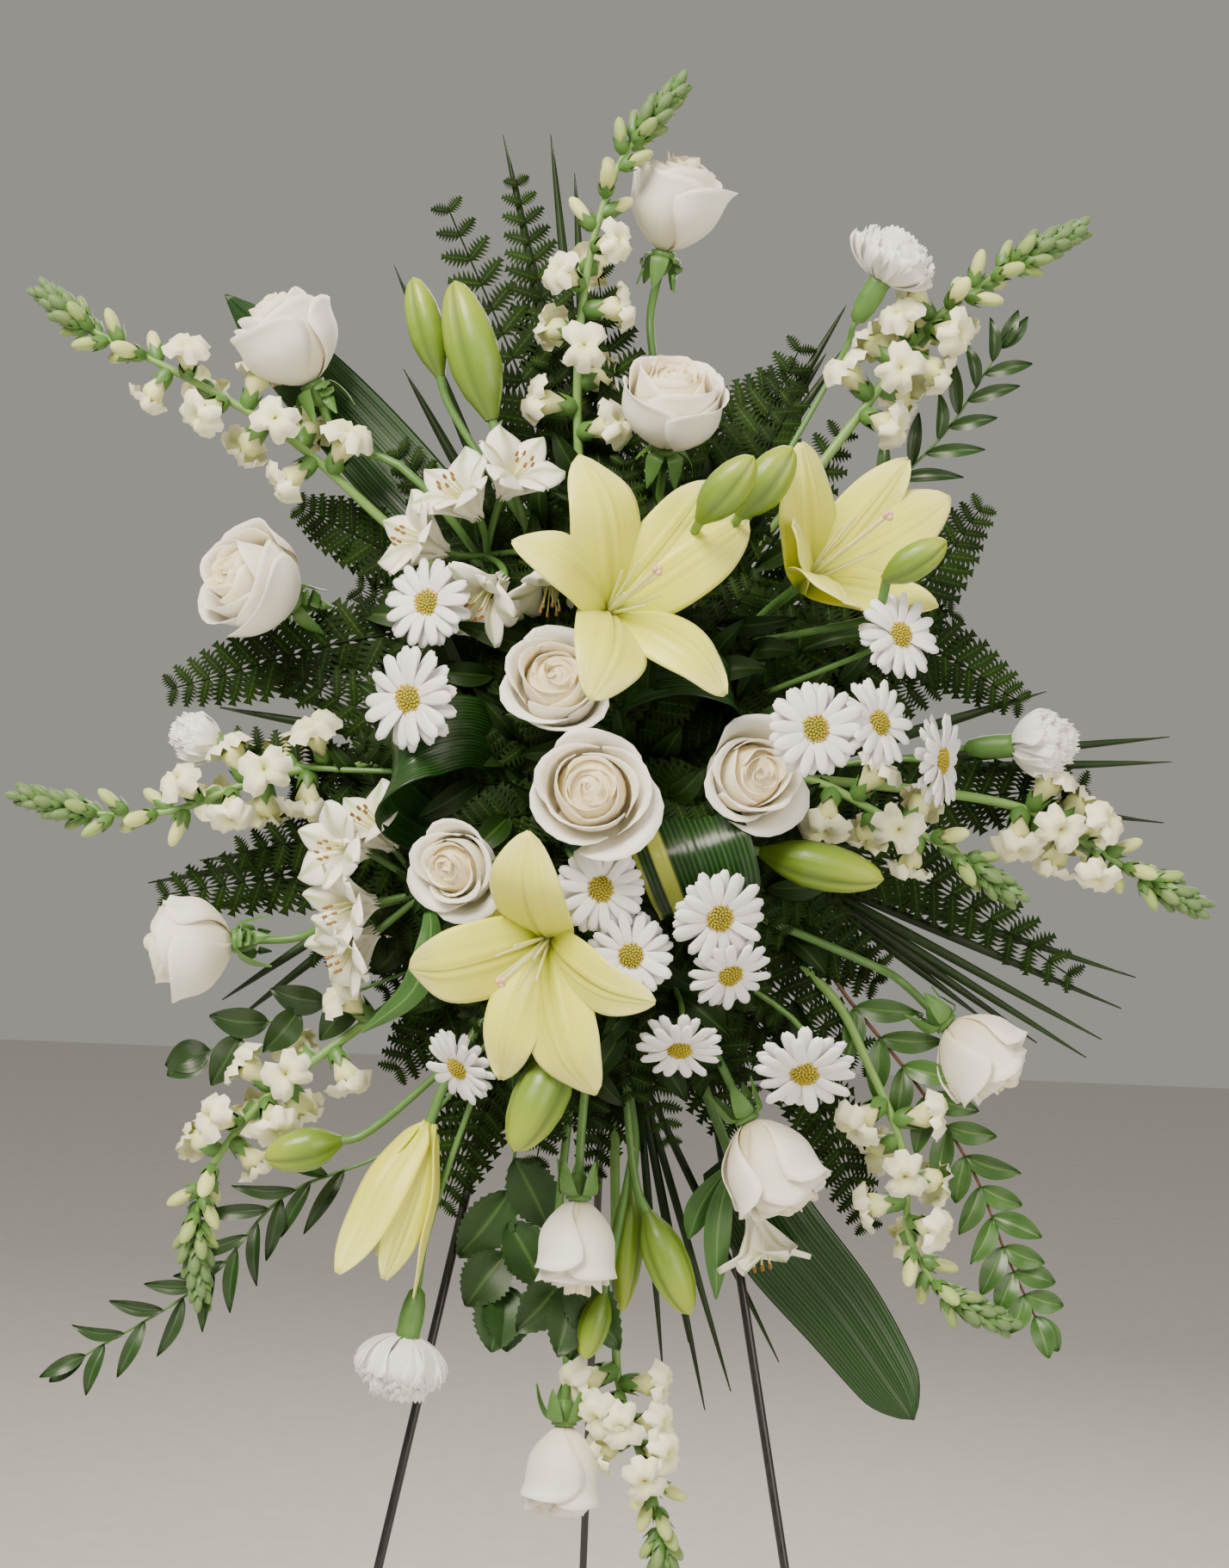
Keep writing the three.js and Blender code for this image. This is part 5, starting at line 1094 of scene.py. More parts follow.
def lily_parts(name, bloom, rng):
    """Open lily: three broad tepals over three narrow ones, each to its own tip, and its stamens."""
    face = facing(bloom["turn"], bloom["tilt"])
    throat = place(bloom["at"])
    scale = bloom.get("scale", 1)
    shape = Shape()
    for i in (1, 3, 5, 0, 2, 4):
        tip_at = bloom["tips"][i]
        tip = (place(tip_at) if len(tip_at) == 3
               else sighted_on(*tip_at, throat, face, bloom["cup"]))
        out = unit(tip - throat - face * np.dot(tip - throat, face))
        outer = i % 2 == 1
        sunk = -1.5 if outer else 0.5
        bulge = bloom["bulge"]
        end = tip + out * 4 - face * 3
        route = [throat - face * 17 + out * 1.5, throat + out * 4 - face * 4 + face * sunk,
                 mix(throat, tip, 0.3) + face * (bulge * 1.1 + sunk),
                 mix(throat, tip, 0.68) + face * (bulge * 1.5 + sunk), end]
        half = TEPAL_WIDTH / 2 * (0.95 if outer else 1.25) * scale
        points = smooth_route(route, 30)
        widths = leaf_widths(half, 0.58, 30, 0.6, 1.2)
        v = np.linspace(0, 1, 31)[:, None]
        layer = np.clip(v * 1.05 - 0.05, 0, 1) + 0.25 * np.linspace(-1, 1, 17)[None] ** 2 * v
        grid = ribbon(points, widths, face, tepal_relief(half, rng), 17)
        shape.sheet(grid, np.clip(layer, 0, 1), rng.uniform(0.5, 1))
    stamens = []
    height = bloom["cup"] * 0.6 + 22
    for i in range(6):
        out = outward(face, (i + 0.5) * math.tau / 6)
        route = [throat - face * 12, throat + out * 5 + face * 8, throat + out * 14 + face * height]
        stamens.append((smooth_route(route, 8), np.linspace(1.3, 0.7, 9)))
    top = throat + face * (bloom["cup"] + 30)
    pistil = (smooth_route([throat - face * 10, mix(throat, top, 0.5), top], 6),
              np.linspace(1.8, 1.4, 7))
    lobes = [([top - face * 2, top + face * 1.5 + outward(face, angle) * 2.6,
               top + face * 1.8 + outward(face, angle) * 3.2], [1.7, 2.1, 0.8])
             for angle in (0.3, 2.4, 4.5)]
    tepals = shape.object(name, lemon_tepal, 0.9)
    inner = joined(name + "_stamens", [stalks("stamens", stamens + [pistil], filament_green, 8),
                                       stalks("stigma", lobes, stigma_peach, 8)])
    return tepals, inner


def hanging_lily(name, bloom):
    """Half-open lily: six tepals that close to a bell, with its stamens inside."""
    rng = random_for(name)
    base, tip = place(bloom["base"]), place(bloom["tip"])
    face = unit(tip - base)
    length = np.linalg.norm(tip - base)
    shape = Shape()
    for i in (1, 3, 5, 0, 2, 4):
        out = outward(face, i * math.pi / 3 + 0.3)
        inner = 0.84 if i % 2 else 1
        profile = [(3, 0), (9, 0.1), (21, 0.36), (27, 0.7), (33 * inner, 0.94 if i % 2 else 1.0)]
        points = smooth_route([base + out * r * inner + face * t * length for r, t in profile], 24)
        half = 17 * inner
        widths = leaf_widths(half, 0.6, 24, 0.6, 2.4)
        grid = ribbon(points, widths, -out, tepal_relief(-half, rng, wave=0.5), 15)
        shape.sheet(grid, np.linspace(0.25, 1, 25)[:, None], rng.uniform(0.5, 1))
    stamens, anthers = [], []
    for i in range(6):
        out = outward(face, (i + 0.5) * math.tau / 6)
        end = base + face * length * 0.72 + out * 11
        stamens.append((smooth_route([base + face * 4, base + face * 30 + out * 7, end], 6),
                        np.linspace(1.2, 0.7, 7)))
        side = unit(np.cross(face, out))
        anthers.append(([end - side * 6, end - side * 2, end + side * 2, end + side * 6],
                        [0.6, 1.6, 1.6, 0.6]))
    stamens.append((smooth_route([base + face * 4, base + face * length * 0.85], 6), 1.7))
    inner = joined(name + "_stamens", [stalks("stamens", stamens, filament_green, 8),
                                       stalks("anthers", anthers, anther_brown, 8)])
    return shape.object(name, lemon_tepal, 0.9), inner


def bud_surface(shape, bud):
    """Closed bud of three tepals: widest below its middle, with a groove where tepals meet."""
    base, tip = place(bud["base"]), place(bud["tip"])
    face = unit(tip - base)
    length = np.linalg.norm(tip - base)
    turn = np.linspace(0, math.tau, 24, endpoint=False)
    profile = np.array([[0, 0.13], [0.06, 0.2], [0.2, 0.38], [0.36, 0.49], [0.55, 0.5],
                        [0.74, 0.43], [0.88, 0.3], [0.96, 0.17], [1.0, 0.01]])
    shares = np.linspace(0, 1, 20) ** 0.9
    radii = np.interp(shares, profile[:, 0], profile[:, 1]) * bud["width"]
    groove = groove_at(turn)
    radius = radii[:, None] * (1 + 0.05 * np.cos(3 * turn) - 0.13 * groove)
    grid = np.stack([radius * np.cos(turn), radius * np.sin(turn),
                     np.broadcast_to((shares * length)[:, None], radius.shape)], -1)
    # Tint here is the depth of the grooves, which the bud's material paints as shade
    shape.sheet(placed(grid, base, face, 0.4), shares[:, None], 0.9 * groove, closed=True)


def groove_at(turn):
    """Depth of a bud's three grooves round it, from 0 to 1."""
    off = np.abs(np.mod(turn, math.tau / 3) - math.pi / 3)
    return np.exp(-(off / 0.14) ** 2)


# Stems in four groups, with calyces and lily buds

def sepals(shape, bloom, rng):
    """Cup under a rose, and five sepals that bend back."""
    face = facing(bloom["turn"], bloom["tilt"])
    top = head_base(bloom)
    long = 1 if bloom["tilt"] > SIDE_TILT else 0.6
    for i in range(5):
        out = outward(face, i * math.tau / 5 + 0.4)
        spread = 1 + rng.uniform(-0.3, 0.3)
        route = [top + out * 6.5 - face * 2, top + out * 12 - face * 4,
                 top + out * 15 * spread - face * 14 * long,
                 top + out * 17 * long * spread - face * 25 * long]
        points = smooth_route(route, 12)
        widths = leaf_widths(6.2, 0.35, 12, 0.7, 0.4)
        widths[:3] = np.maximum(widths[:3], 4.2)
        grid = ribbon(points, widths, face, lambda u, v: -1.2 * u ** 2, 5)
        shape.sheet(grid, 0.0, rng.uniform(0, 1))


def bloom_foot(kind, bloom):
    """Back of a bloom's head, where its calyx and its stalk meet it, and the way it faces."""
    face = facing(bloom["turn"], bloom["tilt"])
    if kind in ("rose", "carnation"):
        return head_base(bloom), face
    behind = {"daisy": DAISY_DEPTH + 2 * CLEARANCE, "lily": LILY_DEPTH + 2 * CLEARANCE,
              "hanging_lily": HANGING_STALK_START}[kind]
    return head_place(bloom) - face * behind, face


def head_place(bloom):
    return place(bloom.get("at", bloom.get("base")))


def last_bend(kind, bloom):
    """Where a lily's or bud's stem bends before it runs straight to its root."""
    if kind == "bud":
        return mix(place(bloom["base"]), place(bloom["tip"]), -BUD_STALK_SHARE)
    foot, face = bloom_foot(kind, bloom)
    return foot - face * STRAIGHT_STALK


def bud_stalk(bud, root):
    """Stalk that tapers up to a bud."""
    base, tip = place(bud["base"]), place(bud["tip"])
    bends = [place(p) for p in bud.get("via", [])] or [last_bend("bud", bud)]
    return smooth_route([base + unit(tip - base) * 3, *bends, root], 16), np.linspace(3.2, 2.3, 17)


def group_members(hub):
    """Kind, name and record of every bloom and bud that has its own stem in a group."""
    named = [("rose", ROSES), ("carnation", CARNATIONS), ("daisy", DAISIES), ("lily", LILIES),
             ("bud", {bud["name"]: bud for bud in BUDS if "name" in bud}),
             ("hanging_lily", {"lily_half_open": HANGING_LILY})]
    members = [(kind, name, bloom) for kind, records in named for name, record in records.items()
               for bloom in (record if kind == "daisy" else [record])]
    return [member for member in members if member[2]["hub"] == hub]


def stem_parts(hub):
    """Stalks of a group's blooms and buds, with the calyx and bud surfaces that belong to them."""
    rng = random_for(hub)
    lines, calyx, bud_shape = [], Shape(), Shape()
    members = group_members(hub)
    roots = roots_along(ROOT_LINES[hub], [head_place(bloom) for _, _, bloom in members])
    hosts = {}
    for (kind, name, bloom), root in zip(members, roots):
        hosts[name] = last_bend(kind, bloom), root
        if kind == "bud":
            bud_surface(bud_shape, bloom)
            lines.append(bud_stalk(bloom, root))
            continue
        foot, face = bloom_foot(kind, bloom)
        if kind in CALYX_RINGS:
            calyx.sheet(placed(turned(CALYX_RINGS[kind], CALYX_SIDES), foot, face), closed=True)
        if kind == "rose":
            sepals(calyx, bloom, rng)
        radius, near, far = STALKS[kind]
        route = [foot - face * near, foot - face * far, *map(place, bloom.get("via", [])), root]
        lines.append((smooth_route(route, 14), radius))
    for bud in BUDS:
        if bud["hub"] == hub and "joins" in bud:
            bend, root = hosts[bud["joins"]]
            bud_surface(bud_shape, bud)
            lines.append(bud_stalk(bud, mix(bend, root, bud["share"])))
    return lines, calyx, bud_shape


# Snapdragon spikes

def open_floret_part():
    """Two-lipped floret: tube, upper lip of two lobes, puffed lower lip of three frilled ones."""
    shape = Shape()
    turn = np.linspace(0, math.tau, 28, endpoint=False)[None]
    stops = [0, 0.3, 0.45, 0.56, 0.66, 0.76, 0.88, 1.0]
    v = np.array([0, 0.15, 0.3, 0.38, 0.45, 0.51, 0.56, 0.61, 0.66, 0.71, 0.76, 0.82, 0.88, 0.94, 1])
    v = v[:, None]
    upper_radius = np.interp(v, stops, [2.6, 5.6, 7.4, 6.6, 0.2, 4.5, 11.5, 17.0])
    upper_reach = np.interp(v, stops, [0, 10, 15, 18.5, 21.5, 25, 25.5, 20])
    lower_radius = np.interp(v, stops, [2.6, 5.6, 8.0, 8.6, 0.2, 5.5, 11.0, 16.0])
    lower_reach = np.interp(v, stops, [0, 10, 15, 20, 23.5, 29, 27.5, 19])
    below = np.clip(0.5 - 2.2 * np.sin(turn), 0, 1)
    cuts = sum(depth * np.exp(-((np.mod(turn - math.radians(middle) + math.pi, math.tau) - math.pi)
                                / breadth) ** 2)
               for middle, depth, breadth in ((0, 0.62, 0.36), (180, 0.62, 0.36), (90, 0.22, 0.16),
                                              (243, 0.24, 0.14), (297, 0.24, 0.14)))
    edge = np.clip((v - 0.66) / 0.34, 0, 1)
    frill = edge ** 2 * np.sin(13 * turn + 1.3)
    radius = mix(upper_radius, lower_radius, below) * (1 - edge * cuts) + 0.9 * frill
    reach = mix(upper_reach, lower_reach, below) + 2.0 * frill
    grid = np.stack([radius * np.cos(turn), radius * np.sin(turn), reach], -1)
    shape.sheet(grid, v, closed=True)
    return as_part(shape, "open_floret")


def bud_floret_part():
    """Closed floret 24 mm long, flattened where its lips meet."""
    shape = Shape()
    turn = np.linspace(0, math.tau, 10, endpoint=False)[None]
    profile = [(2.2, 0), (4.2, 4), (5.4, 10), (5.6, 15), (4.6, 20), (2.4, 23.4), (0.1, 24.5)]
    radii, heights = np.array(profile).T[:, :, None]
    radius = radii * (1 - 0.18 * np.abs(np.sin(turn)) ** 3)
    reach = np.broadcast_to(heights, radius.shape)
    grid = np.stack([radius * np.cos(turn), radius * np.sin(turn), reach], -1)
    shape.sheet(grid, closed=True)
    return as_part(shape, "bud_floret")


def calyx_part():
    """Cup with five short pointed sepals."""
    shape = Shape()
    turn = np.linspace(0, math.tau, 10, endpoint=False)
    point = np.where(np.arange(10) % 2 == 0, 1.0, 0.0)
    radius = np.array([1.2, 3.6, 4.4, 4.2])[:, None] + np.array([0, 0, 0, 1.0])[:, None] * point
    reach = np.array([-2, 0.5, 3, 4])[:, None] + np.array([0, 0, 0, 4.5])[:, None] * point
    shape.sheet(np.stack([radius * np.cos(turn), radius * np.sin(turn), reach], -1), closed=True)
    return as_part(shape, "calyx")


def spike_frame(points, share):
    """Place on a spike's stem and its direction there."""
    low, high = max(share - 0.01, 0), min(share + 0.01, 1)
    before, centre, after = along_curve(points, [low, share, high])
    return centre, unit(after - before)


def floret_spot(points, share, angle, forward, size, tint, lift):
    """Place, axes, size and tint of a floret that leaves the stem at an angle round it."""
    centre, ahead = spike_frame(points, share)
    side = unit(np.cross(ahead, TOWARD_VIEWER))
    other = np.cross(side, ahead)
    out = math.cos(angle) * side + math.sin(angle) * other
    face = unit(out + ahead * forward)
    rise = unit(ahead - face * np.dot(ahead, face))
    axes = (np.cross(rise, face), rise, face)
    return centre + out * 2.2 + face * lift, axes, size, tint


def snapdragon_piece(name, start, route, floret, bud, calyx, front_only=False):
    """Spike with open florets below, half-open ones above and a dense cone of green buds.

    A spike that the folding leg passes behind has its florets on its front only.
    """
    rng = random_for(name)
    points = [place(p) for p in route]
    opened, closed, cups = [], [], []
    span = (1 - start) * np.linalg.norm(np.diff(np.array(points), axis=0), axis=1).sum()
    spacing = FRONT_FLORET_SPACING if front_only else FLORET_SPACING
    count = max(LEAST_FLORETS, round(span / spacing))
    for n in range(count):
        s = n / (count - 1)
        share = mix(start, 0.997, np.interp(s, [0, OPEN_SHARE, 0.45, 1], [0, 0.46, 0.74, 1]))
        angle = n * GOLDEN_TURN + 0.5
        if front_only:
            angle = math.pi - abs(angle % math.tau - math.pi)
        spot = (points, share, angle)
        if s < OPEN_SHARE:
            size = mix(1.15, 0.95, s / OPEN_SHARE) * rng.uniform(0.92, 1.05)
            opened.append(floret_spot(*spot, 0.2, size, rng.uniform(0.4, 1), 2))
            cups.append(floret_spot(*spot, 0.2, 1.45 * size, rng.uniform(0, 1), 0))
        else:
            young = (s - OPEN_SHARE) / (1 - OPEN_SHARE)
            size = np.interp(young, [0, 0.3, 1], [0.98, 0.78, 0.6])
            forward = np.interp(young, [0, 0.3, 1], [0.8, 1.3, 4.0])
            closed.append(floret_spot(*spot, forward, size, max(0.0, 0.9 - 2.2 * young), 1.5))
            cups.append(floret_spot(*spot, forward, size * mix(1.35, 1.7, young),
                                    rng.uniform(0, 1), 0))
    stem = smooth_route(points, 48)
    parts = [copies(name, floret, opened, white_floret), copies("buds", bud, closed, floret_bud_green),
             copies("calyces", calyx, cups, bract_green),
             stalks("stem", [(stem, np.linspace(3.7, 1.6, 49))], spike_green)]
    return finished(joined(name + "_spike", parts), "snapdragon_white", name)


# Alstroemeria

def alstroemeria_piece(name, spray):
    """Umbel of flowers with three narrow and three broad tepals, and its twisted leaves."""
    rng = random_for(name)
    shape, leaves = Shape(), Shape()
    fork, root = place(spray["fork"]), np.array(spray["root"], float) + SHIFT
    lines = [(smooth_route([root, mix(root, fork, 0.5), fork], 8), 2.6)]
    stamens, anthers = [], []
    for across, down, depth, turn, tilt in spray["florets"]:
        centre = place((across, down, depth))
        face = facing(turn, tilt)
        base = centre - face * 24
        lines.append((smooth_route([fork, mix(fork, base, 0.6) - face * 5, base - face * 2,
                                    base + face * 2], 10), np.linspace(2.0, 3.0, 11)))
        for i in range(6):
            inner = i % 2 == 0
            out = outward(face, i * math.tau / 6 + 0.3)
            reach = (29 if inner else 31) * rng.uniform(0.93, 1.03)
            high = 36 if inner else 33
            route = [base + out * 2, base + out * 5 + face * 13, base + out * 13 + face * 27,
                     base + out * reach + face * high]
            half = 10 if inner else 15.5
            points = smooth_route(route, 16)
            widths = leaf_widths(half, 0.68, 16, 0.66, 1.6)
            grid = ribbon(points, widths, face,
                          lambda u, v, h=half: 0.8 * np.cos(3 * u) - 0.15 * h * u ** 2, 11)
            shape.sheet(grid, 1.0 if inner else 0.0, rng.uniform(0.5, 1))
        for i in range(6):
            out = outward(face, i * math.tau / 6 + 0.8)
            end = base + face * 34 + out * 6 - bloom_axes(face)[1] * 3
            stamens.append((smooth_route([base + face * 4, base + face * 20 + out * 3, end], 5),
                            np.linspace(0.8, 0.5, 6)))
            anthers.append(([end, end + face * 3.2], [1.2, 0.9]))
    for route in spray["leaves"]:
        points = smooth_route([fork] + [place(p) for p in route], 18)
        grid = ribbon(points, leaf_widths(9, 0.55, 18, 0.8, 0.8), TOWARD_VIEWER,
                      lambda u, v: 2.0 * u * np.sin(3 * v) - u ** 2, 7)
        leaves.sheet(grid, 0.0, rng.uniform(0, 1))
    parts = [shape.object(name, striped_white, 0.6), stalks("stems", lines, stalk_green, 8),
             stalks("stamens", stamens, filament_green, 6), stalks("anthers", anthers, anther_brown, 6)]
    if leaves.count:
        parts.append(leaves.object("leaves", lily_leaf_green))
    parts = [apply_modifiers(part) for part in parts]
    return finished(joined(name + "_umbel", parts), "alstroemeria_white", name)


def apply_modifiers(piece):
    """The piece with its modifiers built into its mesh."""
    if piece.modifiers:
        graph = bpy.context.evaluated_depsgraph_get()
        mesh = bpy.data.meshes.new_from_object(piece.evaluated_get(graph))
        piece.modifiers.clear()
        piece.data = mesh
    return piece


# Greenery

def strap_widths(half, power, steps):
    """Half widths of a long leaf that keeps its breadth; a low power makes it full."""
    share = np.linspace(0, 1, steps + 1)
    return np.maximum(half * np.sin(math.pi * mix(0.1, 0.97, share ** 0.8)) ** power, 3)


def aspidistra_piece(name, records, line):
    """Ribbed blades along their routes, with stalks to the foam."""
    shape = Shape()
    lines = []
    roots = roots_along(line, [place(record["route"][-1]) for record in records])
    for record, root in zip(records, roots):
        points = smooth_route([place(p) for p in record["route"]], 48)
        across = unit(np.array(record["across"], float)) if "across" in record else None
        half = record["half"]
        widths = strap_widths(half, record.get("power", 0.5), 48)
        widths[0] = 3
        near_end = np.clip((1 - np.linspace(0, 1, 49)) / record.get("taper", 0.25), 0, 1)
        widths = np.maximum(widths * np.sin(near_end * math.pi / 2) ** 0.6, 0.4)

        def relief(u, v, half=half):
            return (-0.05 * half * u ** 2 + 0.16 * np.cos(22 * u) - 1.1 * np.exp(-(u / 0.05) ** 2)
                    + 0.8 * np.sin(9 * v + 3 * u) * np.abs(u))
        grid = ribbon(points, widths, TOWARD_VIEWER, relief, 33, across)
        shape.sheet(grid, float(record.get("striped", 0)), 0.8)
        lines.append((smooth_route([root, mix(root, points[0], 0.5), points[0], points[2]], 8), 2.2))
    parts = [apply_modifiers(shape.object(name, aspidistra_green, 0.9)),
             stalks("stalks", lines, stalk_green, 8)]
    return finished(joined(name + "_blades", parts), "aspidistra_green", name)


def pinna_part():
    """One leaflet of a leatherleaf fern, cut into lobes on both sides."""
    shape = Shape()
    lobes, rows = 7, 15
    v = np.linspace(0, 1, rows)
    cut = np.where(np.arange(rows) % 2 == 1, 1.0, 0.24)
    widths = 7.6 * np.sin(math.pi * (0.2 + 0.78 * v)) ** 0.8 * cut + 0.15
    points = np.stack([PINNA_LENGTH * v, 0 * v, 1.4 * np.sin(math.pi * v) - 1.6 * v], -1)
    grid = ribbon(points, widths, UPWARD, lambda u, v: -0.9 * u ** 2, 3)
    grid[1::2, ::2, 0] += 12 / lobes
    shape.sheet(grid[:, ::-1])
    return as_part(shape, "pinna")


def frond_spots(route, half, rng, pairs, breadth=1.0):
    """Leaflets in two rows along a frond, longest below its middle."""
    spots = []
    for k in range(pairs):
        share = mix(0.12, 0.99, k / (pairs - 1))
        centre, ahead_point = along_curve(route, [share, min(share + 0.01, 1)])
        before = along_curve(route, [share - 0.01])[0]
        ahead = unit(ahead_point - before)
        side = unit(np.cross(ahead, TOWARD_VIEWER))
        reach = half * 1.5 * math.sin(math.pi * (0.14 + 0.8 * (k / pairs)) ** 0.75) ** 0.7
        for sign in (1, -1):
            droop = rng.uniform(-0.25, 0.25)
            out = unit(side * sign + ahead * 0.55 + TOWARD_VIEWER * droop)
            size = (reach * breadth / PINNA_LENGTH, max(reach / PINNA_LENGTH, 0.55) * breadth, 1)
            spots.append((centre, leaf_axes(out, TOWARD_VIEWER), size, rng.uniform(0, 1)))
    return spots


def fern_pieces(pinna):
    """The fronds of the layout, and those that fill the arrangement between and behind them."""
    rng = random_for("fern_fronds")
    routes = [([place(p) for p in route], half) for half, route in FRONDS]
    roots = roots_along(FROND_LINE, [route[-1] for route, _ in routes])
    spots, lines = [], []
    for (route, half), root in zip(routes, roots):
        spots += frond_spots(route, half, rng, 16, FROND_BREADTH)
        lines.append((smooth_route([root] + route, 30), np.linspace(1.6, 0.6, 31)))
    # The fern's very dark green is partly painted shade
    parts = [copies("fern", pinna, spots, fern_green), stalks("rachis", lines, fern_green, 5)]
    finished(joined("fern_fronds_leaflets", parts), "fern_green", "fern_fronds")
    lance = leaf_part("lance_leaf", 70, 9, 0.42)
    for name, filling in (("filling_near", near_filling(rng)), ("filling_far", far_filling(rng))):
        spots, lines, leaves = [], [], []
        for route, half, pairs in filling:
            spots += frond_spots(route, half, rng, pairs)
            leaves += leaves_beside(route, rng)
            lines.append((smooth_route(route, 10), np.linspace(1.4, 0.5, 11)))
        # The filling's fern and leaf greens are partly painted shade between and behind the flowers
        parts = [copies("fern", pinna, spots, fern_green), stalks("rachis", lines, fern_green, 5),
                 copies("leaves", lance, leaves, filler_green_with_painted_shade)]
        finished(joined(name, parts), "fern_green")


def on_oval(angle, across, above, below):
    """Place on an oval round the foam, from its half width and its half heights above and below."""
    x, z = math.cos(angle), math.sin(angle)
    return np.array([across * x, 0, (above if z > 0 else below) * z])


def near_filling(rng, count=54):
    """Short fronds round the heart of the arrangement, from the foam towards the viewer."""
    centre = FOAM_CENTRE + SHIFT
    routes = []
    for n in range(count):
        share = math.sqrt((n + 0.5) / count)
        angle = n * GOLDEN_TURN
        foot = centre + TOWARD_VIEWER * 25 + on_oval(angle, 36, 90, 90) * share
        end = centre + on_oval(angle, 160, 215, 250) * mix(0.35, 1, share)
        end = end + TOWARD_VIEWER * (mix(95, 25, share) - rng.uniform(-14, 14))
        middle = mix(foot, end, 0.5) + TOWARD_VIEWER * 18
        routes.append(([foot, middle, end], rng.uniform(13, 19), 12))
    return routes


def far_filling(rng, count=44):
    """Long fronds behind the flowers, as far as the arrangement's dense part reaches."""
    centre = FOAM_CENTRE + SHIFT
    routes = []
    for n in range(count):
        angle = n * math.tau / count + rng.uniform(-0.08, 0.08)
        reach = on_oval(angle, 235, 320, 250) * rng.uniform(0.68, 1.08)
        foot = centre + on_oval(angle, 30, 80, 80) - TOWARD_VIEWER * 18
        end = centre + reach - TOWARD_VIEWER * rng.uniform(12, 30)
        side = np.array([-math.sin(angle), 0, math.cos(angle)]) * rng.uniform(-18, 18)
        middle = mix(foot, end, 0.5) + side + TOWARD_VIEWER * 12
        routes.append(([foot, middle, end], rng.uniform(18, 25), 15))
    return routes


def leaves_beside(route, rng):
    """Lance-shaped leaves that leave a frond's stalk low down."""
    spots = []
    for share in (0.3, 0.6):
        centre, ahead = spike_frame(route, share + rng.uniform(-0.08, 0.08))
        side = unit(np.cross(ahead, TOWARD_VIEWER)) * rng.choice([-1, 1])
        out = unit(ahead + side * rng.uniform(0.3, 0.9) + TOWARD_VIEWER * rng.uniform(0, 0.5))
        axes = leaf_axes(out, TOWARD_VIEWER + side * rng.uniform(-0.7, 0.7))
        size = (rng.uniform(0.5, 0.85), rng.uniform(0.6, 1), 1)
        spots.append((centre, axes, size, rng.uniform(0, 0.6)))
    return spots


def palm_piece():
    """Fans of narrow folded blades, each fan from one foot."""
    rng = random_for("palm_blades")
    shape, lines = Shape(), []
    roots = roots_along(FAN_LINE, [place(foot) for foot, _, _ in FANS])
    for (foot, half, tips), root in zip(FANS, roots):
        base = place(foot)
        lines.append((smooth_route([root, base], 4), 2.0))
        for tip in tips:
            end = place((*tip, foot[2] - 0.6))
            middle = mix(base, end, 0.5) + TOWARD_VIEWER * rng.uniform(2, 6)
            points = smooth_route([base, middle, end], 18)
            widths = leaf_widths(half, 0.4, 18, 0.7, 0.25)
            grid = ribbon(points, widths, TOWARD_VIEWER, lambda u, v, h=half: -0.4 * h * np.abs(u), 7)
            shape.sheet(grid, 0.0, rng.uniform(0, 1))
    parts = [apply_modifiers(shape.object("palm", palm_green, 0.5)),
             stalks("stalks", lines, palm_green, 8)]
    return finished(joined("palm_blades_fans", parts), "palm_green", "palm_blades")


def leaf_part(name, length, half, peak, serrated=0.0):
    """Flat leaf along +X with a raised edge on both sides of its rib."""
    shape = Shape()
    steps = 24 if serrated else 14
    v = np.linspace(0, 1, steps + 1)
    teeth = 1 - serrated * (np.arange(steps + 1) % 2)
    widths = leaf_widths(half, peak, steps, 0.8, 0.3) * teeth
    points = np.stack([length * v, 0 * v, 0.12 * length * np.sin(math.pi * v)], -1)
    grid = ribbon(points, widths, UPWARD, lambda u, v: 0.25 * half * np.abs(u), 7)
    shape.sheet(grid[:, ::-1])
    return as_part(shape, name)


def sprays_piece():
    """Sprays of small leaves, in turn or in pairs along a twig, with one at its tip."""
    rng = random_for("leafy_sprays")
    leaves = {"ruscus": leaf_part("ruscus_leaf", *LEAF_SIZES["ruscus"], 0.42),
              "myrtle": leaf_part("myrtle_leaf", *LEAF_SIZES["myrtle"], 0.45),
              "rose": leaf_part("rose_leaf", *LEAF_SIZES["rose"], 0.45, 0.12)}
    finishes = {"ruscus": (ruscus_green, stalk_green), "myrtle": (myrtle_green, reddish_stalk),
                "rose": (rose_leaf_green, stalk_green)}
    parts = []
    roots = roots_along(SPRAY_LINE, [place(spray["route"][-1]) for spray in SPRAYS])
    for spray, root in zip(SPRAYS, roots):
        route = [place(p) for p in spray["route"]]
        kind, bands = spray["kind"], spray["bands"]
        base_length, base_half = LEAF_SIZES[kind]
        leaf_finish, bark = finishes[kind]
        spots = []
        for n in range(bands + 1):
            share = mix(spray["start"], 0.985, n / bands)
            before, centre, after = along_curve(route, [share - 0.01, share, min(share + 0.01, 1)])
            ahead = unit(after - before)
            for sign in (1, -1):
                if n % 2 == (0 if sign > 0 else 1) and not spray.get("paired") and n < bands:
                    continue
                side = np.cross(ahead, TOWARD_VIEWER) * sign
                spread = spray["spread"] * (0.15 if n == bands else rng.uniform(0.8, 1.15))
                out = unit(ahead + side * spread + TOWARD_VIEWER * rng.uniform(-0.2, 0.3))
                axes = leaf_axes(out, TOWARD_VIEWER + side * rng.uniform(-0.5, 0.5))
                length = spray["length"] * mix(1, 0.72, n / bands) * rng.uniform(0.85, 1.05)
                size = (length / base_length, spray["half"] / base_half, 1)
                spots.append((centre, axes, size, rng.uniform(0, 1)))
        parts.append(copies(kind, leaves[kind], spots, leaf_finish))
        stem = smooth_route([root] + route, 36)
        parts.append(stalks("twig", [(stem, np.linspace(1.7, 0.8, 37))], bark, 7))
    return finished(joined("leafy_sprays_leaves", parts), "leaf_green", "leafy_sprays")


# Easel

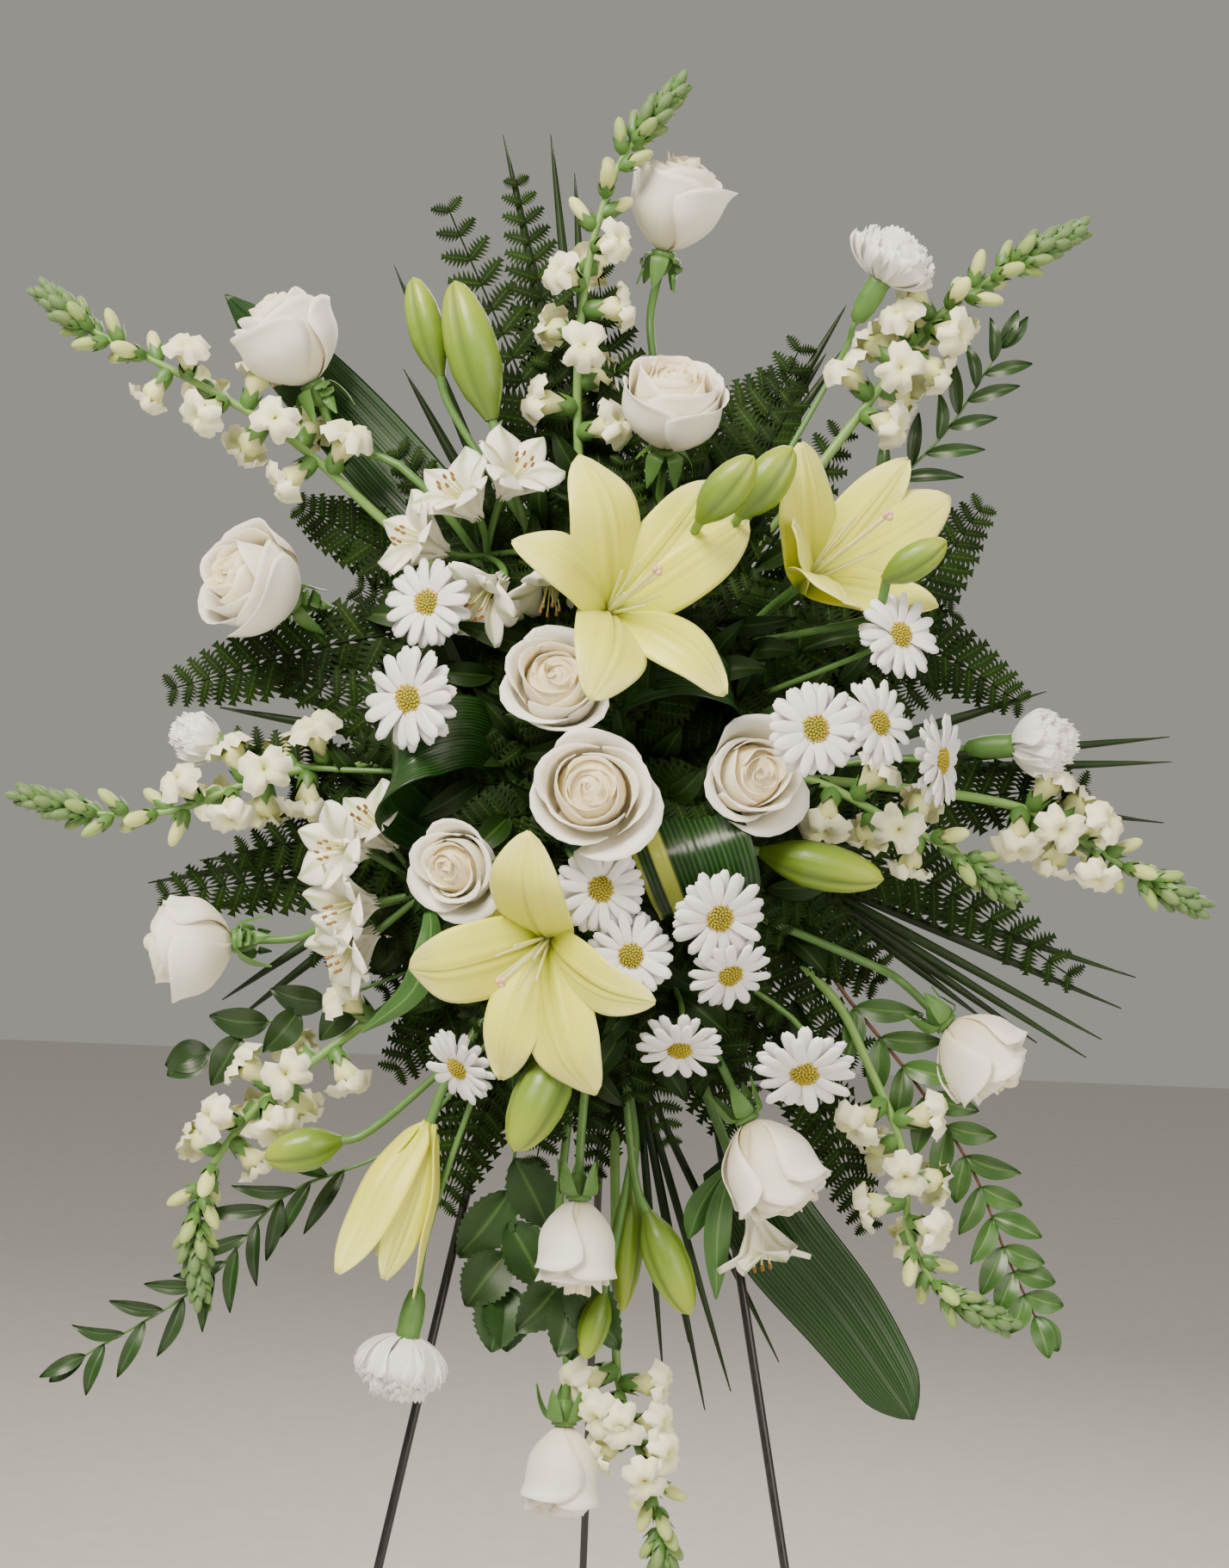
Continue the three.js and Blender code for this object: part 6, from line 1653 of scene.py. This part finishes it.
def leg_point(side, height):
    """Place at a height on the left or right leg."""
    drop = EASEL_TOP - height
    return np.array([side * (WIRE_RADIUS + 0.4 + LEG_SPLAY * drop), -LEG_LEAN * drop, height]) + SHIFT


def rod(name, start, end, node):
    """Round wire with domed ends."""
    start, end = np.array(start, float), np.array(end, float)
    ahead = unit(end - start)
    line = ([start + ahead * distance for distance, _ in WIRE_END]
            + [end - ahead * distance for distance, _ in reversed(WIRE_END)])
    radii = [WIRE_RADIUS * share for _, share in WIRE_END + WIRE_END[::-1]]
    finished(stalks(name, [(line, radii)], wire_black, 20), "black_wire", node)


def build_easel():
    """Front legs and bars; the back leg is the solid itself, with its finish."""
    for side, label in ((-1, "left"), (1, "right")):
        rod(f"easel_{label}_wire", leg_point(side, 0), leg_point(side, EASEL_TOP), f"easel_{label}_leg")
    between_legs = leg_point(1, HINGE_HEIGHT)[0] - SHIFT[0] - WIRE_RADIUS - CLEARANCE
    in_front = 2 * WIRE_RADIUS + CLEARANCE
    for label, height, half, forward in (("hinge", HINGE_HEIGHT, between_legs, 0),
                                         ("hanger", HANGER_HEIGHT, BAR_HALF_LENGTH, in_front),
                                         ("lower", LOWER_BAR_HEIGHT, BAR_HALF_LENGTH, in_front)):
        y = leg_point(1, height)[1] - forward
        rod(f"easel_{label}_wire", (SHIFT[0] - half, y, height), (SHIFT[0] + half, y, height),
            f"easel_{label}_bar")


def dress_solid(node, material):
    """Gives a carried-over solid its finish."""
    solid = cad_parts[node]
    for slot in solid.material_slots:
        slot.material = material


def build_flowers():
    for name, bloom in ROSES.items():
        shape = Shape()
        rose_petals(shape, bloom, random_for(name))
        finished(shape.object(name + "_petals", ivory_rose, 0.45), "rose_ivory", name)
    for name, bloom in CARNATIONS.items():
        shape = Shape()
        carnation_petals(shape, bloom, random_for(name))
        finished(shape.object(name + "_petals", white_carnation, 0.4), "carnation_white", name)
    ray, floret = daisy_ray_part(), disc_floret_part()
    for name, blooms in DAISIES.items():
        daisy_piece(name, blooms, ray, floret)
    for name, bloom in LILIES.items():
        tepals, inner = lily_parts(name + "_tepals", bloom, random_for(name))
        finished(tepals, "lily_lemon", name)
        finished(inner, "lily_lemon")
    tepals, inner = hanging_lily("lily_half_open_tepals", HANGING_LILY)
    finished(tepals, "lily_lemon", "lily_half_open")
    finished(inner, "lily_lemon")
    open_floret, bud_floret, calyx = open_floret_part(), bud_floret_part(), calyx_part()
    for name, (start, route) in SNAPDRAGONS.items():
        snapdragon_piece(name, start, route, open_floret, bud_floret, calyx,
                         front_only=name == FRONT_SPIKE)
    for name, spray in ALSTROEMERIAS.items():
        alstroemeria_piece(name, spray)


def build_stems():
    for name in ROOT_LINES:
        lines, calyx, bud_shape = stem_parts(name)
        parts = [stalks("stems", lines, stalk_green, 10), calyx.object("calyces", bract_green)]
        if bud_shape.count:
            parts.append(bud_shape.object("buds", bud_green))
        finished(joined(f"stems_{name}_stalks", parts), "green_stems", f"stems_{name}")


def build_greenery():
    aspidistra_piece("aspidistra_loops", LOOPED_LEAVES, LOOP_LINE)
    aspidistra_piece("aspidistra_leaves", FLAT_LEAVES, FLAT_LINE)
    fern_pieces(pinna_part())
    palm_piece()
    sprays_piece()


# Stage: floor, light and camera

# Lamps: place and size in metres, and power in watts
LAMPS = {"key": ((-1.2, -2.2, 3.3), 1.6, 225), "fill": ((2.2, -2.6, 1.6), 2.4, 70),
         "rim": ((0.6, 2.2, 2.6), 1.8, 60)}
LAMP_TARGET = Vector((0, 0, 1.1))
FLOOR_HALF = 9000


def build_stage():
    shape = Shape()
    side = np.linspace(-FLOOR_HALF, FLOOR_HALF, 3)
    x, y = np.meshgrid(side, side)
    shape.sheet(np.stack([x, y, np.zeros_like(x)], -1))
    shape.object("floor", floor_material())
    world = bpy.data.worlds.new("studio")
    bpy.context.scene.world = world
    world.use_nodes = True
    world.node_tree.nodes["Background"].inputs["Color"].default_value = linear("#d2cfc6")
    world.node_tree.nodes["Background"].inputs["Strength"].default_value = 0.5
    for name, (where, size, power) in LAMPS.items():
        light = bpy.data.lights.new(name, "AREA")
        light.energy, light.size = power, size
        light.color = linear("#fff3e3")[:3]
        lamp = bpy.data.objects.new(name, light)
        lamp.location = where
        lamp.rotation_euler = (LAMP_TARGET - Vector(where)).to_track_quat("-Z", "Y").to_euler()
        bpy.context.scene.collection.objects.link(lamp)


def build_camera():
    camera = bpy.data.cameras.new("photo_view")
    camera.sensor_fit = "HORIZONTAL"
    camera.sensor_width = FILM_WIDTH
    camera.lens = PICTURE_FOCUS / PICTURE_WIDTH * FILM_WIDTH
    camera.clip_end = 100
    holder = bpy.data.objects.new("photo_view", camera)
    c, s = math.cos(PICTURE_ROLL), math.sin(PICTURE_ROLL)
    eye = (np.array([0.0, -EYE_DISTANCE, EYE_HEIGHT]) + SHIFT) * MM
    holder.matrix_world = Matrix(((c, -s, 0, eye[0]), (0, 0, -1, eye[1]), (s, c, 0, eye[2]),
                                  (0, 0, 0, 1)))
    bpy.context.scene.collection.objects.link(holder)
    bpy.context.scene.camera = holder


build_flowers()
build_stems()
build_greenery()
build_easel()
dress_solid("floral_foam", wet_foam)
dress_solid("foam_tray", moulded_tray)
dress_solid("easel_back_leg", wire_black)
build_stage()
build_camera()
